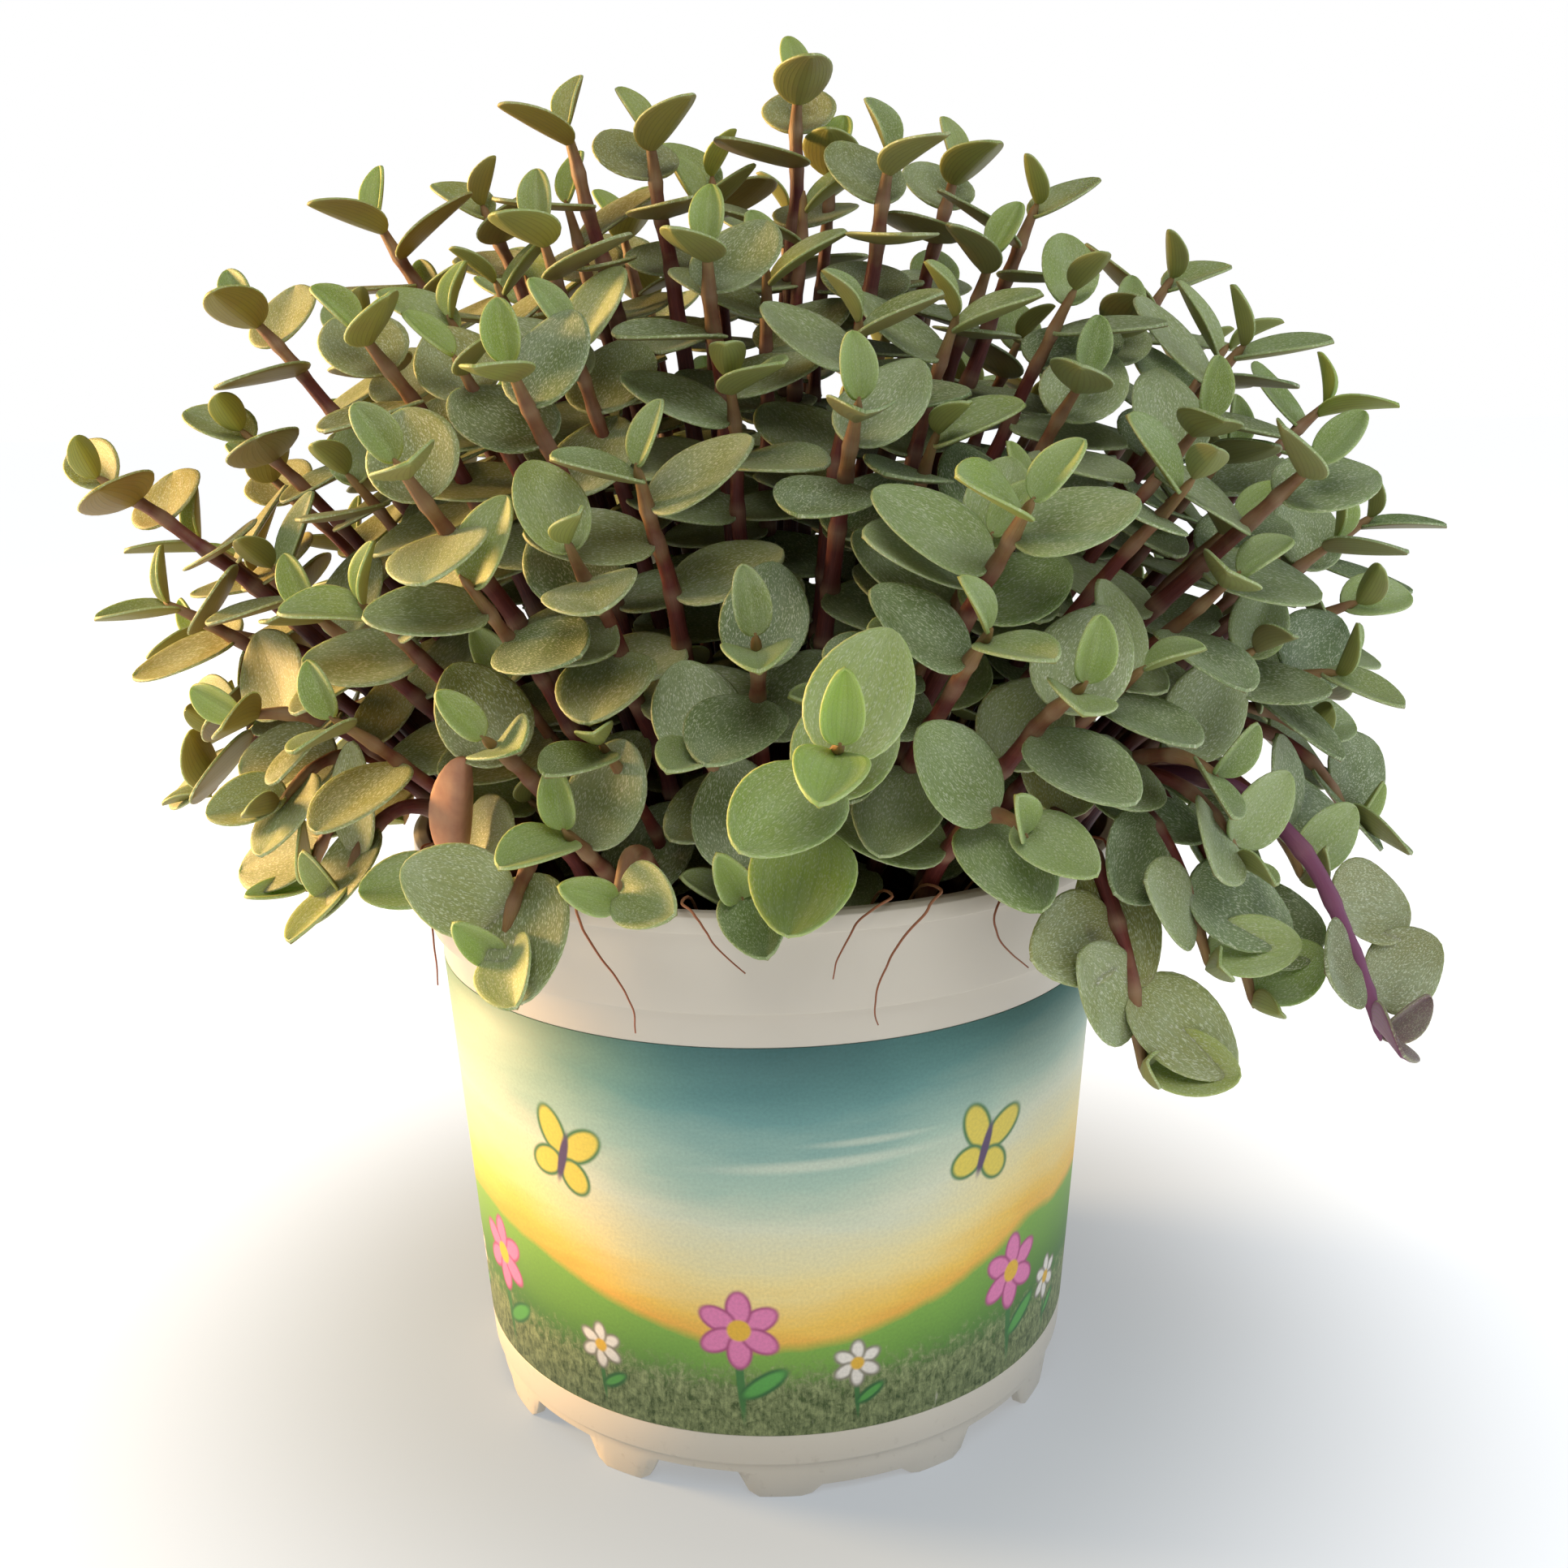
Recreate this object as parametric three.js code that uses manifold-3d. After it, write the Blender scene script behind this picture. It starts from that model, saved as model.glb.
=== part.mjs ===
// A turtle vine growing in a moulded plastic pot with a printed picture label.
// Millimetres, +Z up. The origin is on the pot's axis at table level, and the
// plant's best side looks along -Y.

import * as THREE from 'three';
import { mergeVertices } from 'three/addons/utils/BufferGeometryUtils.js';
import Module from 'manifold-3d';

const wasm = await Module();
wasm.setup();

// ---- Driving dimensions ----------------------------------------------------

const gap = 0.3;                 // room between two pieces that touch

const potHeight = 99.5;
const baseRadius = 51.35;        // outside of the wall, carried down to the table
const draft = 0.0635;            // how far the wall leans out for each mm of height
const wall = 1.6;
const bandHeight = 15.6;         // plain band below the rim
const bandStep = 1.4;            // how far the band stands out from the wall
const lipHeight = 3;             // rolled lip at the very top
const lipStep = 0.9;
const floorHeight = 6;           // underside of the pot's floor
const footInset = 0.7;           // the foot ring stands in from the wall
const potSides = 32;

const slotCount = 12;            // castellations round the foot ring
const slotWidth = 12;
const slotTaper = 2.5;           // a slot is this much wider each side at the table
const slotDepth = 4.5;
const notchDepth = 1.8;          // every third slot is only a shallow notch
const drainCount = 8;
const drainRadius = 4;
const drainRing = 32;            // the drain holes' centres lie on this radius

const labelBottom = 12.1;
const labelHeight = 66.1;
const labelThickness = 0.4;

const headspace = 15.5;          // from the potting mix up to the rim
const rootDepth = 4;             // how deep a stem stands in the mix
const socketSides = 4;

const spread = 120;              // how far the mound reaches out from the axis
const rise = 136;                // how high the mound stands above the mix
const stemRadius = 1.2;
const stemSides = 4;
const stemSteps = 6;             // straight lengths in a leaning stem
const archSteps = 10;            // and in one that arches over the rim
const fanDepth = 45;             // the stems fan out from a point this far under the mix
const neighbourRoom = 1;         // least room between two stems
const rimRoom = 1.4;             // least room between a stem and the pot

const leafLength = 17;
const leafWidth = 13.6;
const leafThickness = 1.4;
const leafCup = 1.6;             // how far a leaf's edges curl up
const leafRoom = 0.5;            // least room between leaves of two shoots
const potRoom = 2;               // least room between a leaf and the pot

// Leaves down a shoot, from its tip: how far down each sits, how big it is
// against a full leaf, and how many degrees it rises from square to the stem.
const leafSteps = [
  { back: 0.5, size: 0.5, lift: 52 },
  { back: 3, size: 0.76, lift: 34 },
  { back: 7.5, size: 0.94, lift: 22 },
  { back: 13, size: 1, lift: 14 },
  { back: 22, size: 1, lift: 8 },
  { back: 31, size: 1, lift: 2 },
];
const lightPull = 0.8;           // how strongly leaves turn from the stem's way to the light
const lightFront = 0.5;          // the light comes from above and this much from the front
const hangTurn = 1;              // how strongly leaves on a hanging stem turn out and up
const nodeTwist = 12;            // each leaf turns this much past the opposite side
const leafTurns = [0, 25, -25, 50, -50, 75, -75, 100, -100];
const rootShifts = [
  0, 4, -4, 8, -8, 12, -12, 16, -16, 20, -20, 25, -25, 30, -30, 36, -36, 43, -43, 51, -51, 60, -60,
];
const archStep = 3;              // a stem that would foul the rim arches this much higher
const archLimit = 60;

// Where each shoot's tip is: x and y as a percentage of the spread, height
// above the mix as a percentage of the rise, then the first leaf's turn about
// the stem in degrees and the number of leaves.
const plan = {
  rim: [
    [28, -58, 21, 45, 6],
    [-23, -51, 21, 80, 5],
    [-17, -55, 14, 10, 4],
    [-3, -54, 14, 60, 3],
    [43, -53, -6, 20, 6],
    [75, -41, -7, 150, 5],
    [-54, -30, 8, 60, 5],
    [-39, -36, 10, 140, 4],
  ],
  crown: [
    [6, 8, 98, 80, 6],
    [-14, 0, 92, 20, 6],
    [-25, 2, 93, 95, 6],
    [17, -12, 88, 60, 6],
    [28, 12, 89, 100, 6],
    [38, 4, 84, 10, 6],
    [-6, -25, 78, 95, 6],
    [12, -29, 70, 15, 6],
    [-39, 17, 86, 150, 6],
    [5, 33, 86, 40, 6],
  ],
  front: [
    [-28, -40, 66, 70, 6],
    [-40, -46, 57, 30, 6],
    [11, -42, 62, 85, 6],
    [-14, -42, 56, 130, 6],
    [28, -58, 53, 160, 6],
    [24, -57, 41, 35, 6],
    [-1, -50, 40, 75, 6],
    [34, -58, 36, 110, 6],
    [7, -76, 34, 95, 6],
    [-32, -48, 30, 20, 6],
  ],
  left: [
    [-48, -25, 70, 0, 6],
    [-53, 12, 84, 60, 6],
    [-71, 8, 73, 15, 6],
    [-91, 0, 54, 170, 6],
    [-82, -4, 39, 80, 6],
    [-58, -21, 40, 40, 6],
    [-48, -34, 42, 120, 6],
    [-69, -18, 27, 10, 6],
  ],
  right: [
    [61, -17, 67, 50, 6],
    [50, 2, 70, 140, 6],
    [60, 17, 76, 30, 6],
    [64, -38, 55, 170, 6],
    [85, 21, 60, 100, 6],
    [88, 8, 46, 70, 6],
    [81, -8, 37, 20, 6],
    [74, 0, 22, 60, 6],
    [53, -42, 23, 120, 6],
  ],
  back: [
    [-20, 55, 72, 30, 6],
    [22, 58, 66, 110, 6],
    [50, 48, 62, 60, 6],
    [-50, 46, 64, 160, 6],
    [-5, 76, 44, 20, 6],
    [35, 72, 36, 90, 6],
    [-34, 70, 38, 130, 6],
    [66, 52, 32, 45, 6],
    [-66, 48, 36, 75, 6],
    [80, 36, 24, 10, 6],
    [-78, 30, 22, 100, 6],
    [4, 62, 12, 50, 6],
  ],
};

// ---- Sizes that follow from them -------------------------------------------

const bandBottom = potHeight - bandHeight;
const lipBottom = potHeight - lipHeight;
const floorTop = floorHeight + wall;
const labelTop = labelBottom + labelHeight;
const recess = labelThickness + gap;
const soilTop = potHeight - headspace;
const rimRadius = wallRadius(potHeight) + bandStep + lipStep;
const mouthRadius = wallRadius(potHeight) + bandStep - wall;
const stemReach = mouthRadius - stemRadius - rimRoom;
const rimSide = rimRadius + stemRadius + rimRoom + gap;
const rimOver = potHeight + stemRadius + rimRoom;
const stemSamples = 30;          // points along a stem where its room is tested

function wallRadius(height) {
  return baseRadius + draft * height;
}

// ---- Solids ----------------------------------------------------------------

function solidFrom(geometry) {
  const plain = geometry.index ? geometry.toNonIndexed() : geometry.clone();
  plain.deleteAttribute('normal');
  plain.deleteAttribute('uv');
  const merged = mergeVertices(plain, 1e-4);
  const triangles = [];
  const index = merged.index.array;
  for (let i = 0; i < index.length; i += 3) {
    const [a, b, c] = [index[i], index[i + 1], index[i + 2]];
    if (a !== b && b !== c && c !== a) {
      triangles.push(a, b, c);
    }
  }
  const vertProperties = new Float32Array(merged.attributes.position.array);
  const triVerts = new Uint32Array(triangles);
  return new wasm.Manifold(new wasm.Mesh({ numProp: 3, vertProperties, triVerts }));
}

function geometryFrom(solid) {
  const { vertProperties, triVerts } = solid.getMesh();
  const geometry = new THREE.BufferGeometry();
  geometry.setAttribute('position', new THREE.BufferAttribute(vertProperties, 3));
  geometry.setIndex(new THREE.BufferAttribute(triVerts, 1));
  return geometry;
}

// A profile of [radius, height] pairs turned about the pot's axis.
function turned(profile) {
  const points = profile.map(([radius, height]) => new THREE.Vector2(radius, height));
  return solidFrom(new THREE.LatheGeometry(points, potSides).rotateX(Math.PI / 2));
}

function named(name, solid, look) {
  const mesh = new THREE.Mesh(geometryFrom(solid), new THREE.MeshStandardMaterial(look));
  mesh.name = name;
  return mesh;
}

// ---- Pot, label and potting mix --------------------------------------------

// One castellation, a tapered block pushed out through the foot ring.
function footSlot(angle, depth) {
  const shape = new THREE.Shape();
  shape.moveTo(-slotWidth / 2 - slotTaper, -gap);
  shape.lineTo(slotWidth / 2 + slotTaper, -gap);
  shape.lineTo(slotWidth / 2, depth);
  shape.lineTo(-slotWidth / 2, depth);
  const length = 4 * wall + 2 * footInset;
  const block = new THREE.ExtrudeGeometry(shape, { depth: length, bevelEnabled: false });
  block.rotateX(Math.PI / 2);
  block.translate(0, -wallRadius(0) + length / 2 + wall, 0);
  return solidFrom(block.rotateZ(angle));
}

function drainHole(angle) {
  const hole = new THREE.CylinderGeometry(drainRadius, drainRadius, 3 * wall, 12);
  hole.rotateX(Math.PI / 2);
  hole.translate(drainRing, 0, floorHeight + wall / 2);
  return solidFrom(hole.rotateZ(angle));
}

function pot() {
  const foot = wallRadius(0) - footInset;
  let body = turned([
    [0, floorHeight],
    [foot - wall, floorHeight],
    [foot - wall, 0],
    [foot, 0],
    [foot + draft * floorHeight, floorHeight],
    [wallRadius(floorHeight), floorHeight + footInset],
    [wallRadius(labelBottom - gap), labelBottom - gap],
    [wallRadius(labelBottom - gap) - recess, labelBottom - gap],
    [wallRadius(labelTop + gap) - recess, labelTop + gap],
    [wallRadius(labelTop + gap), labelTop + gap],
    [wallRadius(bandBottom), bandBottom],
    [wallRadius(bandBottom) + bandStep, bandBottom + bandStep / 2],
    [wallRadius(lipBottom) + bandStep, lipBottom],
    [rimRadius, lipBottom + lipStep / 2],
    [rimRadius, potHeight - lipStep / 2],
    [rimRadius - lipStep, potHeight],
    [mouthRadius, potHeight],
    [wallRadius(bandBottom) + bandStep - wall, bandBottom + bandStep],
    [wallRadius(bandBottom) - wall, bandBottom],
    [wallRadius(floorTop) - wall, floorTop],
    [0, floorTop],
  ]);
  for (let i = 0; i < slotCount; i += 1) {
    const depth = i % 3 === 0 ? notchDepth : slotDepth;
    body = body.subtract(footSlot(((i + 0.5) / slotCount) * 2 * Math.PI, depth));
  }
  for (let i = 0; i < drainCount; i += 1) {
    body = body.subtract(drainHole((i / drainCount) * 2 * Math.PI));
  }
  return body;
}

// A thin printed sleeve moulded into a recess of the wall.
function pictureLabel() {
  return turned([
    [wallRadius(labelBottom) - labelThickness, labelBottom],
    [wallRadius(labelBottom), labelBottom],
    [wallRadius(labelTop), labelTop],
    [wallRadius(labelTop) - labelThickness, labelTop],
    [wallRadius(labelBottom) - labelThickness, labelBottom],
  ]);
}

// The mix fills the pot up to the headspace, with a socket for every stem.
function pottingMix(shoots) {
  const reach = (height) => wallRadius(height) - wall - gap;
  let mix = turned([
    [0, floorTop + gap],
    [reach(floorTop), floorTop + gap],
    [reach(soilTop), soilTop],
    [0, soilTop],
  ]);
  for (const shoot of shoots) {
    mix = mix.subtract(rootSocket(shoot));
  }
  return mix;
}

// A socket round the first straight length of a stem, with the gap all round.
function rootSocket({ curve, steps }) {
  const start = curve.getPoint(0);
  const along = curve.getPoint(1 / steps).sub(start).normalize();
  const radius = (stemRadius + gap) / Math.cos(Math.PI / socketSides);
  const length = 2 * rootDepth + gap;
  const socket = new THREE.CylinderGeometry(radius, radius, length, socketSides);
  socket.translate(0, length / 2 - gap, 0);
  socket.applyQuaternion(new THREE.Quaternion().setFromUnitVectors(new THREE.Vector3(0, 1, 0), along));
  return solidFrom(socket.translate(start.x, start.y, start.z));
}

// ---- Stems -----------------------------------------------------------------

// A stem rises from the mix near the pot's middle and leans out to its tip.
// A low tip outside the rim is reached by an arch over it.
function stemCurve(tip, shift, arch) {
  const tipReach = Math.hypot(tip.x, tip.y);
  const heading = Math.atan2(tip.y, tip.x) + THREE.MathUtils.degToRad(shift);
  const height = tip.z - soilTop;
  const fan = (tipReach * fanDepth) / Math.max(height + fanDepth, 1);
  const rootReach = Math.min(fan, stemReach - 5);
  const collar = Math.min(rootReach + 0.15 * (tipReach - rootReach), stemReach - 3);
  const out = new THREE.Vector3(Math.cos(heading), Math.sin(heading), 0);
  const root = out.clone().multiplyScalar(rootReach).setZ(soilTop - rootDepth);
  const low = out.clone().multiplyScalar(collar).setZ(soilTop + 0.35 * Math.max(height, 0) + arch);
  const high = root.clone().lerp(tip, arch > 0 ? 0.72 : 0.55);
  high.z = arch > 0 ? (Math.max(tip.z, potHeight) + low.z + arch) / 2 : soilTop + 0.7 * height;
  return new THREE.CubicBezierCurve3(root, low, high, tip);
}

function samplesOf(curve) {
  return Array.from({ length: stemSamples + 1 }, (_, i) => curve.getPoint(i / stemSamples));
}

function clearsRim(points) {
  return points.every((point) => {
    const reach = Math.hypot(point.x, point.y);
    const overTheRim = point.z > rimOver;
    const outside = reach > rimRadius + stemRadius + rimRoom;
    return overTheRim || outside || reach < stemReach;
  });
}

function clearsStems(points, shoots) {
  const room = 2 * stemRadius + neighbourRoom;
  return shoots.every((shoot) =>
    points.every((point) => shoot.points.every((other) => point.distanceTo(other) >= room)));
}

// A tip that would stand in the rim moves straight out past it.
function tipAt(x, y, height) {
  const tip = new THREE.Vector3((x * spread) / 100, (y * spread) / 100, soilTop + (height * rise) / 100);
  const reach = Math.hypot(tip.x, tip.y);
  if (tip.z <= rimOver && reach >= stemReach && reach < rimSide) {
    tip.x *= rimSide / reach;
    tip.y *= rimSide / reach;
  }
  return tip;
}

// The stem's root moves round the pot, and its arch rises, until it has room.
function growStem(tip, shoots) {
  for (const shift of rootShifts) {
    let arch = 0;
    let curve = stemCurve(tip, shift, arch);
    while (!clearsRim(samplesOf(curve)) && arch < archLimit) {
      arch += archStep;
      curve = stemCurve(tip, shift, arch);
    }
    const points = samplesOf(curve);
    if (clearsRim(points) && clearsStems(points, shoots)) {
      return { curve, points, steps: arch > 0 ? archSteps : stemSteps };
    }
  }
  throw new Error('a stem finds no room');
}

function growShoots() {
  const shoots = [];
  for (const [zone, rows] of Object.entries(plan)) {
    rows.forEach(([x, y, height, turn, leafCount], i) => {
      const stem = growStem(tipAt(x, y, height), shoots);
      shoots.push({ ...stem, name: `shoot_${zone}_${i + 1}`, turn, leafCount, leaves: [] });
    });
  }
  return shoots;
}

// ---- Leaves ----------------------------------------------------------------

// The stem's parameter at a distance back from the tip, or -1 below the root.
function parameterBack(points, back) {
  const lengths = [0];
  for (let i = 1; i < points.length; i += 1) {
    lengths.push(lengths[i - 1] + points[i].distanceTo(points[i - 1]));
  }
  const wanted = lengths[stemSamples] - back;
  if (wanted < rootDepth + leafRoom) {
    return -1;
  }
  let i = 0;
  while (lengths[i + 1] < wanted) {
    i += 1;
  }
  return (i + (wanted - lengths[i]) / (lengths[i + 1] - lengths[i])) / stemSamples;
}

// The way a leaf faces: along its stem, turned to the light, and outwards
// and up where the stem hangs.
function leafUp(tangent, point) {
  const hang = Math.max(-tangent.z, 0) * hangTurn;
  const outAndUp = new THREE.Vector3(point.x, point.y, 0).normalize().setZ(1);
  const light = new THREE.Vector3(0, -lightFront, 1);
  return tangent.clone().addScaledVector(light, lightPull).addScaledVector(outAndUp, hang).normalize();
}

// A leaf's place: centre, axis, upper face and side, with its half sizes.
function leafAt(shoot, step, turn) {
  const parameter = parameterBack(shoot.points, step.back);
  if (parameter < 0) {
    return null;
  }
  const up = leafUp(shoot.curve.getTangent(parameter), shoot.curve.getPoint(parameter));
  const side = new THREE.Vector3().crossVectors(up, new THREE.Vector3(0, 0, 1)).normalize();
  const front = new THREE.Vector3().crossVectors(side, up);
  const radians = THREE.MathUtils.degToRad(turn);
  const lift = THREE.MathUtils.degToRad(step.lift);
  const away = side.multiplyScalar(Math.cos(radians)).addScaledVector(front, Math.sin(radians));
  const axis = away.clone().multiplyScalar(Math.cos(lift)).addScaledVector(up, Math.sin(lift));
  const face = up.clone().multiplyScalar(Math.cos(lift)).addScaledVector(away, -Math.sin(lift));
  const halfLength = (leafLength * step.size) / 2;
  const halfWidth = (leafWidth * step.size) / 2;
  const centre = shoot.curve.getPoint(parameter).addScaledVector(axis, halfLength);
  const across = new THREE.Vector3().crossVectors(axis, face);
  return { centre, axis, face, across, halfLength, halfWidth };
}

// Half the room that a leaf takes up along one direction.
function halfExtent(leaf, direction) {
  const along = leaf.halfLength * direction.dot(leaf.axis);
  const across = leaf.halfWidth * direction.dot(leaf.across);
  const thick = (leafThickness / 2 + leafCup / 2) * Math.abs(direction.dot(leaf.face));
  return Math.hypot(along, across) + thick;
}

function leavesClear(a, b) {
  const offset = b.centre.clone().sub(a.centre);
  const between = offset.clone().normalize();
  const directions = [a.face, b.face, between, a.axis, b.axis, a.across, b.across];
  return directions.some((direction) =>
    Math.abs(offset.dot(direction)) > halfExtent(a, direction) + halfExtent(b, direction) + leafRoom);
}

function leafClearsStem(leaf, points) {
  return points.every((point) => {
    const offset = point.clone().sub(leaf.centre);
    const between = offset.clone().normalize();
    return [leaf.face, between, leaf.axis, leaf.across].some((direction) =>
      Math.abs(offset.dot(direction)) > halfExtent(leaf, direction) + stemRadius + leafRoom);
  });
}

// A leaf lies above the rim, or wholly outside it, or wholly inside it over the mix.
function leafClearsPot(leaf) {
  const reaches = [];
  const heights = [];
  for (let i = 0; i < 8; i += 1) {
    const angle = (i * Math.PI) / 4;
    const point = leaf.centre.clone();
    point.addScaledVector(leaf.axis, leaf.halfLength * Math.cos(angle));
    point.addScaledVector(leaf.across, leaf.halfWidth * Math.sin(angle));
    reaches.push(Math.hypot(point.x, point.y));
    heights.push(point.z);
  }
  const lowest = Math.min(...heights);
  const outside = Math.min(...reaches) > rimRadius + potRoom && lowest > potRoom;
  const inside = Math.max(...reaches) < mouthRadius - potRoom && lowest > soilTop + potRoom;
  return lowest > potHeight + potRoom || outside || inside;
}

function hasRoom(leaf, shoot, shoots) {
  const others = shoots.filter((other) => other !== shoot);
  return leafClearsPot(leaf)
    && others.every((other) => other.leaves.every((placed) => leavesClear(leaf, placed)))
    && others.every((other) => leafClearsStem(leaf, other.points));
}

// Tip leaves come first on every shoot. A leaf without room turns about its
// stem, and is left out where no turn gives it room.
function growLeaves(shoots) {
  leafSteps.forEach((step, order) => {
    for (const shoot of shoots.filter((one) => order < one.leafCount)) {
      const first = shoot.turn + (180 + nodeTwist) * order;
      const tries = leafTurns.map((extra) => leafAt(shoot, step, first + extra));
      const leaf = tries.find((one) => one !== null && hasRoom(one, shoot, shoots));
      if (leaf) {
        shoot.leaves.push(leaf);
      }
    }
  });
}

// A leaf is a thin ovate lens: blunt at the stem, pointed at its tip, cupped.
function leafSolid(leaf) {
  const blade = new THREE.SphereGeometry(1, 6, 2).rotateX(Math.PI / 2).rotateZ(Math.PI / 6);
  const position = blade.attributes.position;
  for (let i = 0; i < position.count; i += 1) {
    const x = position.getX(i);
    const y = position.getY(i);
    const curl = leafCup * (x * x + y * y - 0.5) * 0.5;
    position.setX(i, x * (1 - 0.16 * y) * leaf.halfWidth * 1.08);
    position.setY(i, y * leaf.halfLength);
    position.setZ(i, (position.getZ(i) * leafThickness) / 2 + curl);
  }
  const place = new THREE.Matrix4().makeBasis(leaf.across, leaf.axis, leaf.face);
  return solidFrom(blade.applyMatrix4(place.setPosition(leaf.centre)));
}

function shootSolid(shoot) {
  const corners = Array.from({ length: stemSides }, (_, i) =>
    new THREE.Vector2(stemRadius, 0).rotateAround(new THREE.Vector2(), (i * 2 * Math.PI) / stemSides));
  const section = new THREE.Shape(corners);
  const stem = new THREE.ExtrudeGeometry(section, {
    steps: shoot.steps,
    extrudePath: shoot.curve,
    bevelEnabled: false,
  });
  return shoot.leaves.reduce((body, leaf) => body.add(leafSolid(leaf)), solidFrom(stem));
}

// ---- The object ------------------------------------------------------------

const looks = {
  pot: { color: 0xe6e2da, roughness: 0.4, metalness: 0 },
  label: { color: 0x7fae9c, roughness: 0.35, metalness: 0 },
  mix: { color: 0x2a1e16, roughness: 0.95, metalness: 0 },
  shoot: { color: 0x7f9a74, roughness: 0.6, metalness: 0 },
};

const shoots = growShoots();
growLeaves(shoots);

const group = new THREE.Group();
group.add(named('pot', pot(), looks.pot));
group.add(named('picture_label', pictureLabel(), looks.label));
group.add(named('potting_mix', pottingMix(shoots), looks.mix));
for (const shoot of shoots) {
  group.add(named(shoot.name, shootSolid(shoot), looks.shoot));
}

export default group;
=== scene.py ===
# %% [markdown]
# # A potted turtle vine
# A young turtle vine in a moulded plastic pot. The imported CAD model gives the
# frame: the pot, its label, the potting mix and one plain solid for each shoot.
# This lesson replaces each of those solids with a finished piece in the same
# place, so nothing has to be fitted afterwards.

# %% Load the frame
import math
import random

import bmesh
import bpy
import numpy as np
from mathutils import Matrix, Vector, noise


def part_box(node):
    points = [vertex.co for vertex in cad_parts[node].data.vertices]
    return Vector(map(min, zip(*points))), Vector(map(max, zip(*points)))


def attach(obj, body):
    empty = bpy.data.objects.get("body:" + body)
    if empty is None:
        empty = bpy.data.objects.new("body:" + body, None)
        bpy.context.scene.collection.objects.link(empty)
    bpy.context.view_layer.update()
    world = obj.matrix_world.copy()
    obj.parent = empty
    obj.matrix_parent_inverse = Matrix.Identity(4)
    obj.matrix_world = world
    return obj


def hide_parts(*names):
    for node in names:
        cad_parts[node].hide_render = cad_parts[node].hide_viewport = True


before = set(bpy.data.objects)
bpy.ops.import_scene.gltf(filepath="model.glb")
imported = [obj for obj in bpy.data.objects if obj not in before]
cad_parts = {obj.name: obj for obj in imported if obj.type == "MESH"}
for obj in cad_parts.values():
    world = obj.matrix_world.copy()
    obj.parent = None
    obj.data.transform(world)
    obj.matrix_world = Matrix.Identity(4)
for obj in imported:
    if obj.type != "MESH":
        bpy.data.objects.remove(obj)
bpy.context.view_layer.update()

scene = bpy.context.scene
MM = 0.001

# %% [markdown]
# ## The camera
# The plant is seen from the front, a little above the rim, from arm's length.
# The camera stands close, so near leaves look large. Its pitch, yaw and roll are
# turned in that order about its own place, as on a tripod head.

# %% Camera
CAMERA_DISTANCE = 271.4 * MM
CAMERA_HEIGHT = 170.3 * MM
CAMERA_PITCH = math.radians(13.9)
CAMERA_YAW = math.radians(0.61)
CAMERA_ROLL = math.radians(-0.94)
CAMERA_LENS = 37.2

camera_data = bpy.data.cameras.new("camera")
camera_data.lens = CAMERA_LENS
camera_data.sensor_width = 36
camera_data.clip_start = 0.01
camera = bpy.data.objects.new("camera", camera_data)
scene.collection.objects.link(camera)
turned = (Matrix.Rotation(-CAMERA_YAW, 4, "Z")
          @ Matrix.Rotation(math.pi / 2 - CAMERA_PITCH, 4, "X")
          @ Matrix.Rotation(CAMERA_ROLL, 4, "Z"))
camera.matrix_world = Matrix.Translation((0, -CAMERA_DISTANCE, CAMERA_HEIGHT)) @ turned
scene.camera = camera
print("camera at", tuple(round(c, 3) for c in camera.location))

# %% [markdown]
# ## Small helpers
# Colours are easiest to choose as the hex values of a paint chart, but the
# shader works in linear light, so one function converts them. Another adds one
# shader node with its settings and its links, and `layered` mixes colours over one
# another. `make_piece` puts a finished mesh in the scene, riding on the pot.

# %% Helpers
def linear(hex_colour):
    """An sRGB hex colour as linear red, green, blue and alpha."""
    parts = [int(hex_colour[i:i + 2], 16) / 255 for i in (1, 3, 5)]
    return tuple(p / 12.92 if p <= 0.04045 else ((p + 0.055) / 1.055) ** 2.4 for p in parts) + (1.0,)


def add_node(tree, kind, inputs=None, **settings):
    """Adds one node. An input is a plain value, a socket, or a node for its first live output."""
    node = tree.nodes.new(kind)
    for name, value in settings.items():
        setattr(node, name, value)
    for name, value in (inputs or {}).items():
        if isinstance(value, bpy.types.Node):
            value = next(socket for socket in value.outputs if socket.enabled)
        if isinstance(value, bpy.types.NodeSocket):
            tree.links.new(value, node.inputs[name])
        else:
            node.inputs[name].default_value = value
    return node


def start_material(name):
    """An empty node material and its tree."""
    material = bpy.data.materials.new(name)
    material.use_nodes = True
    material.node_tree.nodes.clear()
    return material, material.node_tree


def set_stops(ramp_node, stops):
    """Gives a colour ramp its stops, each a place and a hex colour, in order."""
    elements = ramp_node.color_ramp.elements
    for element, (place, colour) in zip(list(elements), (stops[0], stops[-1])):
        element.position = place
        element.color = linear(colour)
    for place, colour in stops[1:-1]:
        elements.new(place).color = linear(colour)


def layered(tree, ground, *layers):
    """Colours laid one over another, each by its own share. A colour is a hex value or a node."""
    for share, colour in layers:
        below, above = (linear(c) if isinstance(c, str) else c for c in (ground, colour))
        ground = add_node(tree, "ShaderNodeMix", {0: share, 6: below, 7: above}, data_type="RGBA")
    return ground


def surfaced(material, tree, settings):
    """Ends a material with its one Principled shader."""
    shader = add_node(tree, "ShaderNodeBsdfPrincipled", settings)
    add_node(tree, "ShaderNodeOutputMaterial", {"Surface": shader})
    return material


def make_piece(name, mesh, materials, slot, *stands_for):
    """Puts a mesh in the scene as a piece on the pot's body, in place of CAD nodes."""
    piece = bpy.data.objects.new(name, mesh)
    scene.collection.objects.link(piece)
    for material in materials:
        piece.data.materials.append(material)
    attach(piece, "root")
    if stands_for:
        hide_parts(*stands_for)
    return piece


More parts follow.
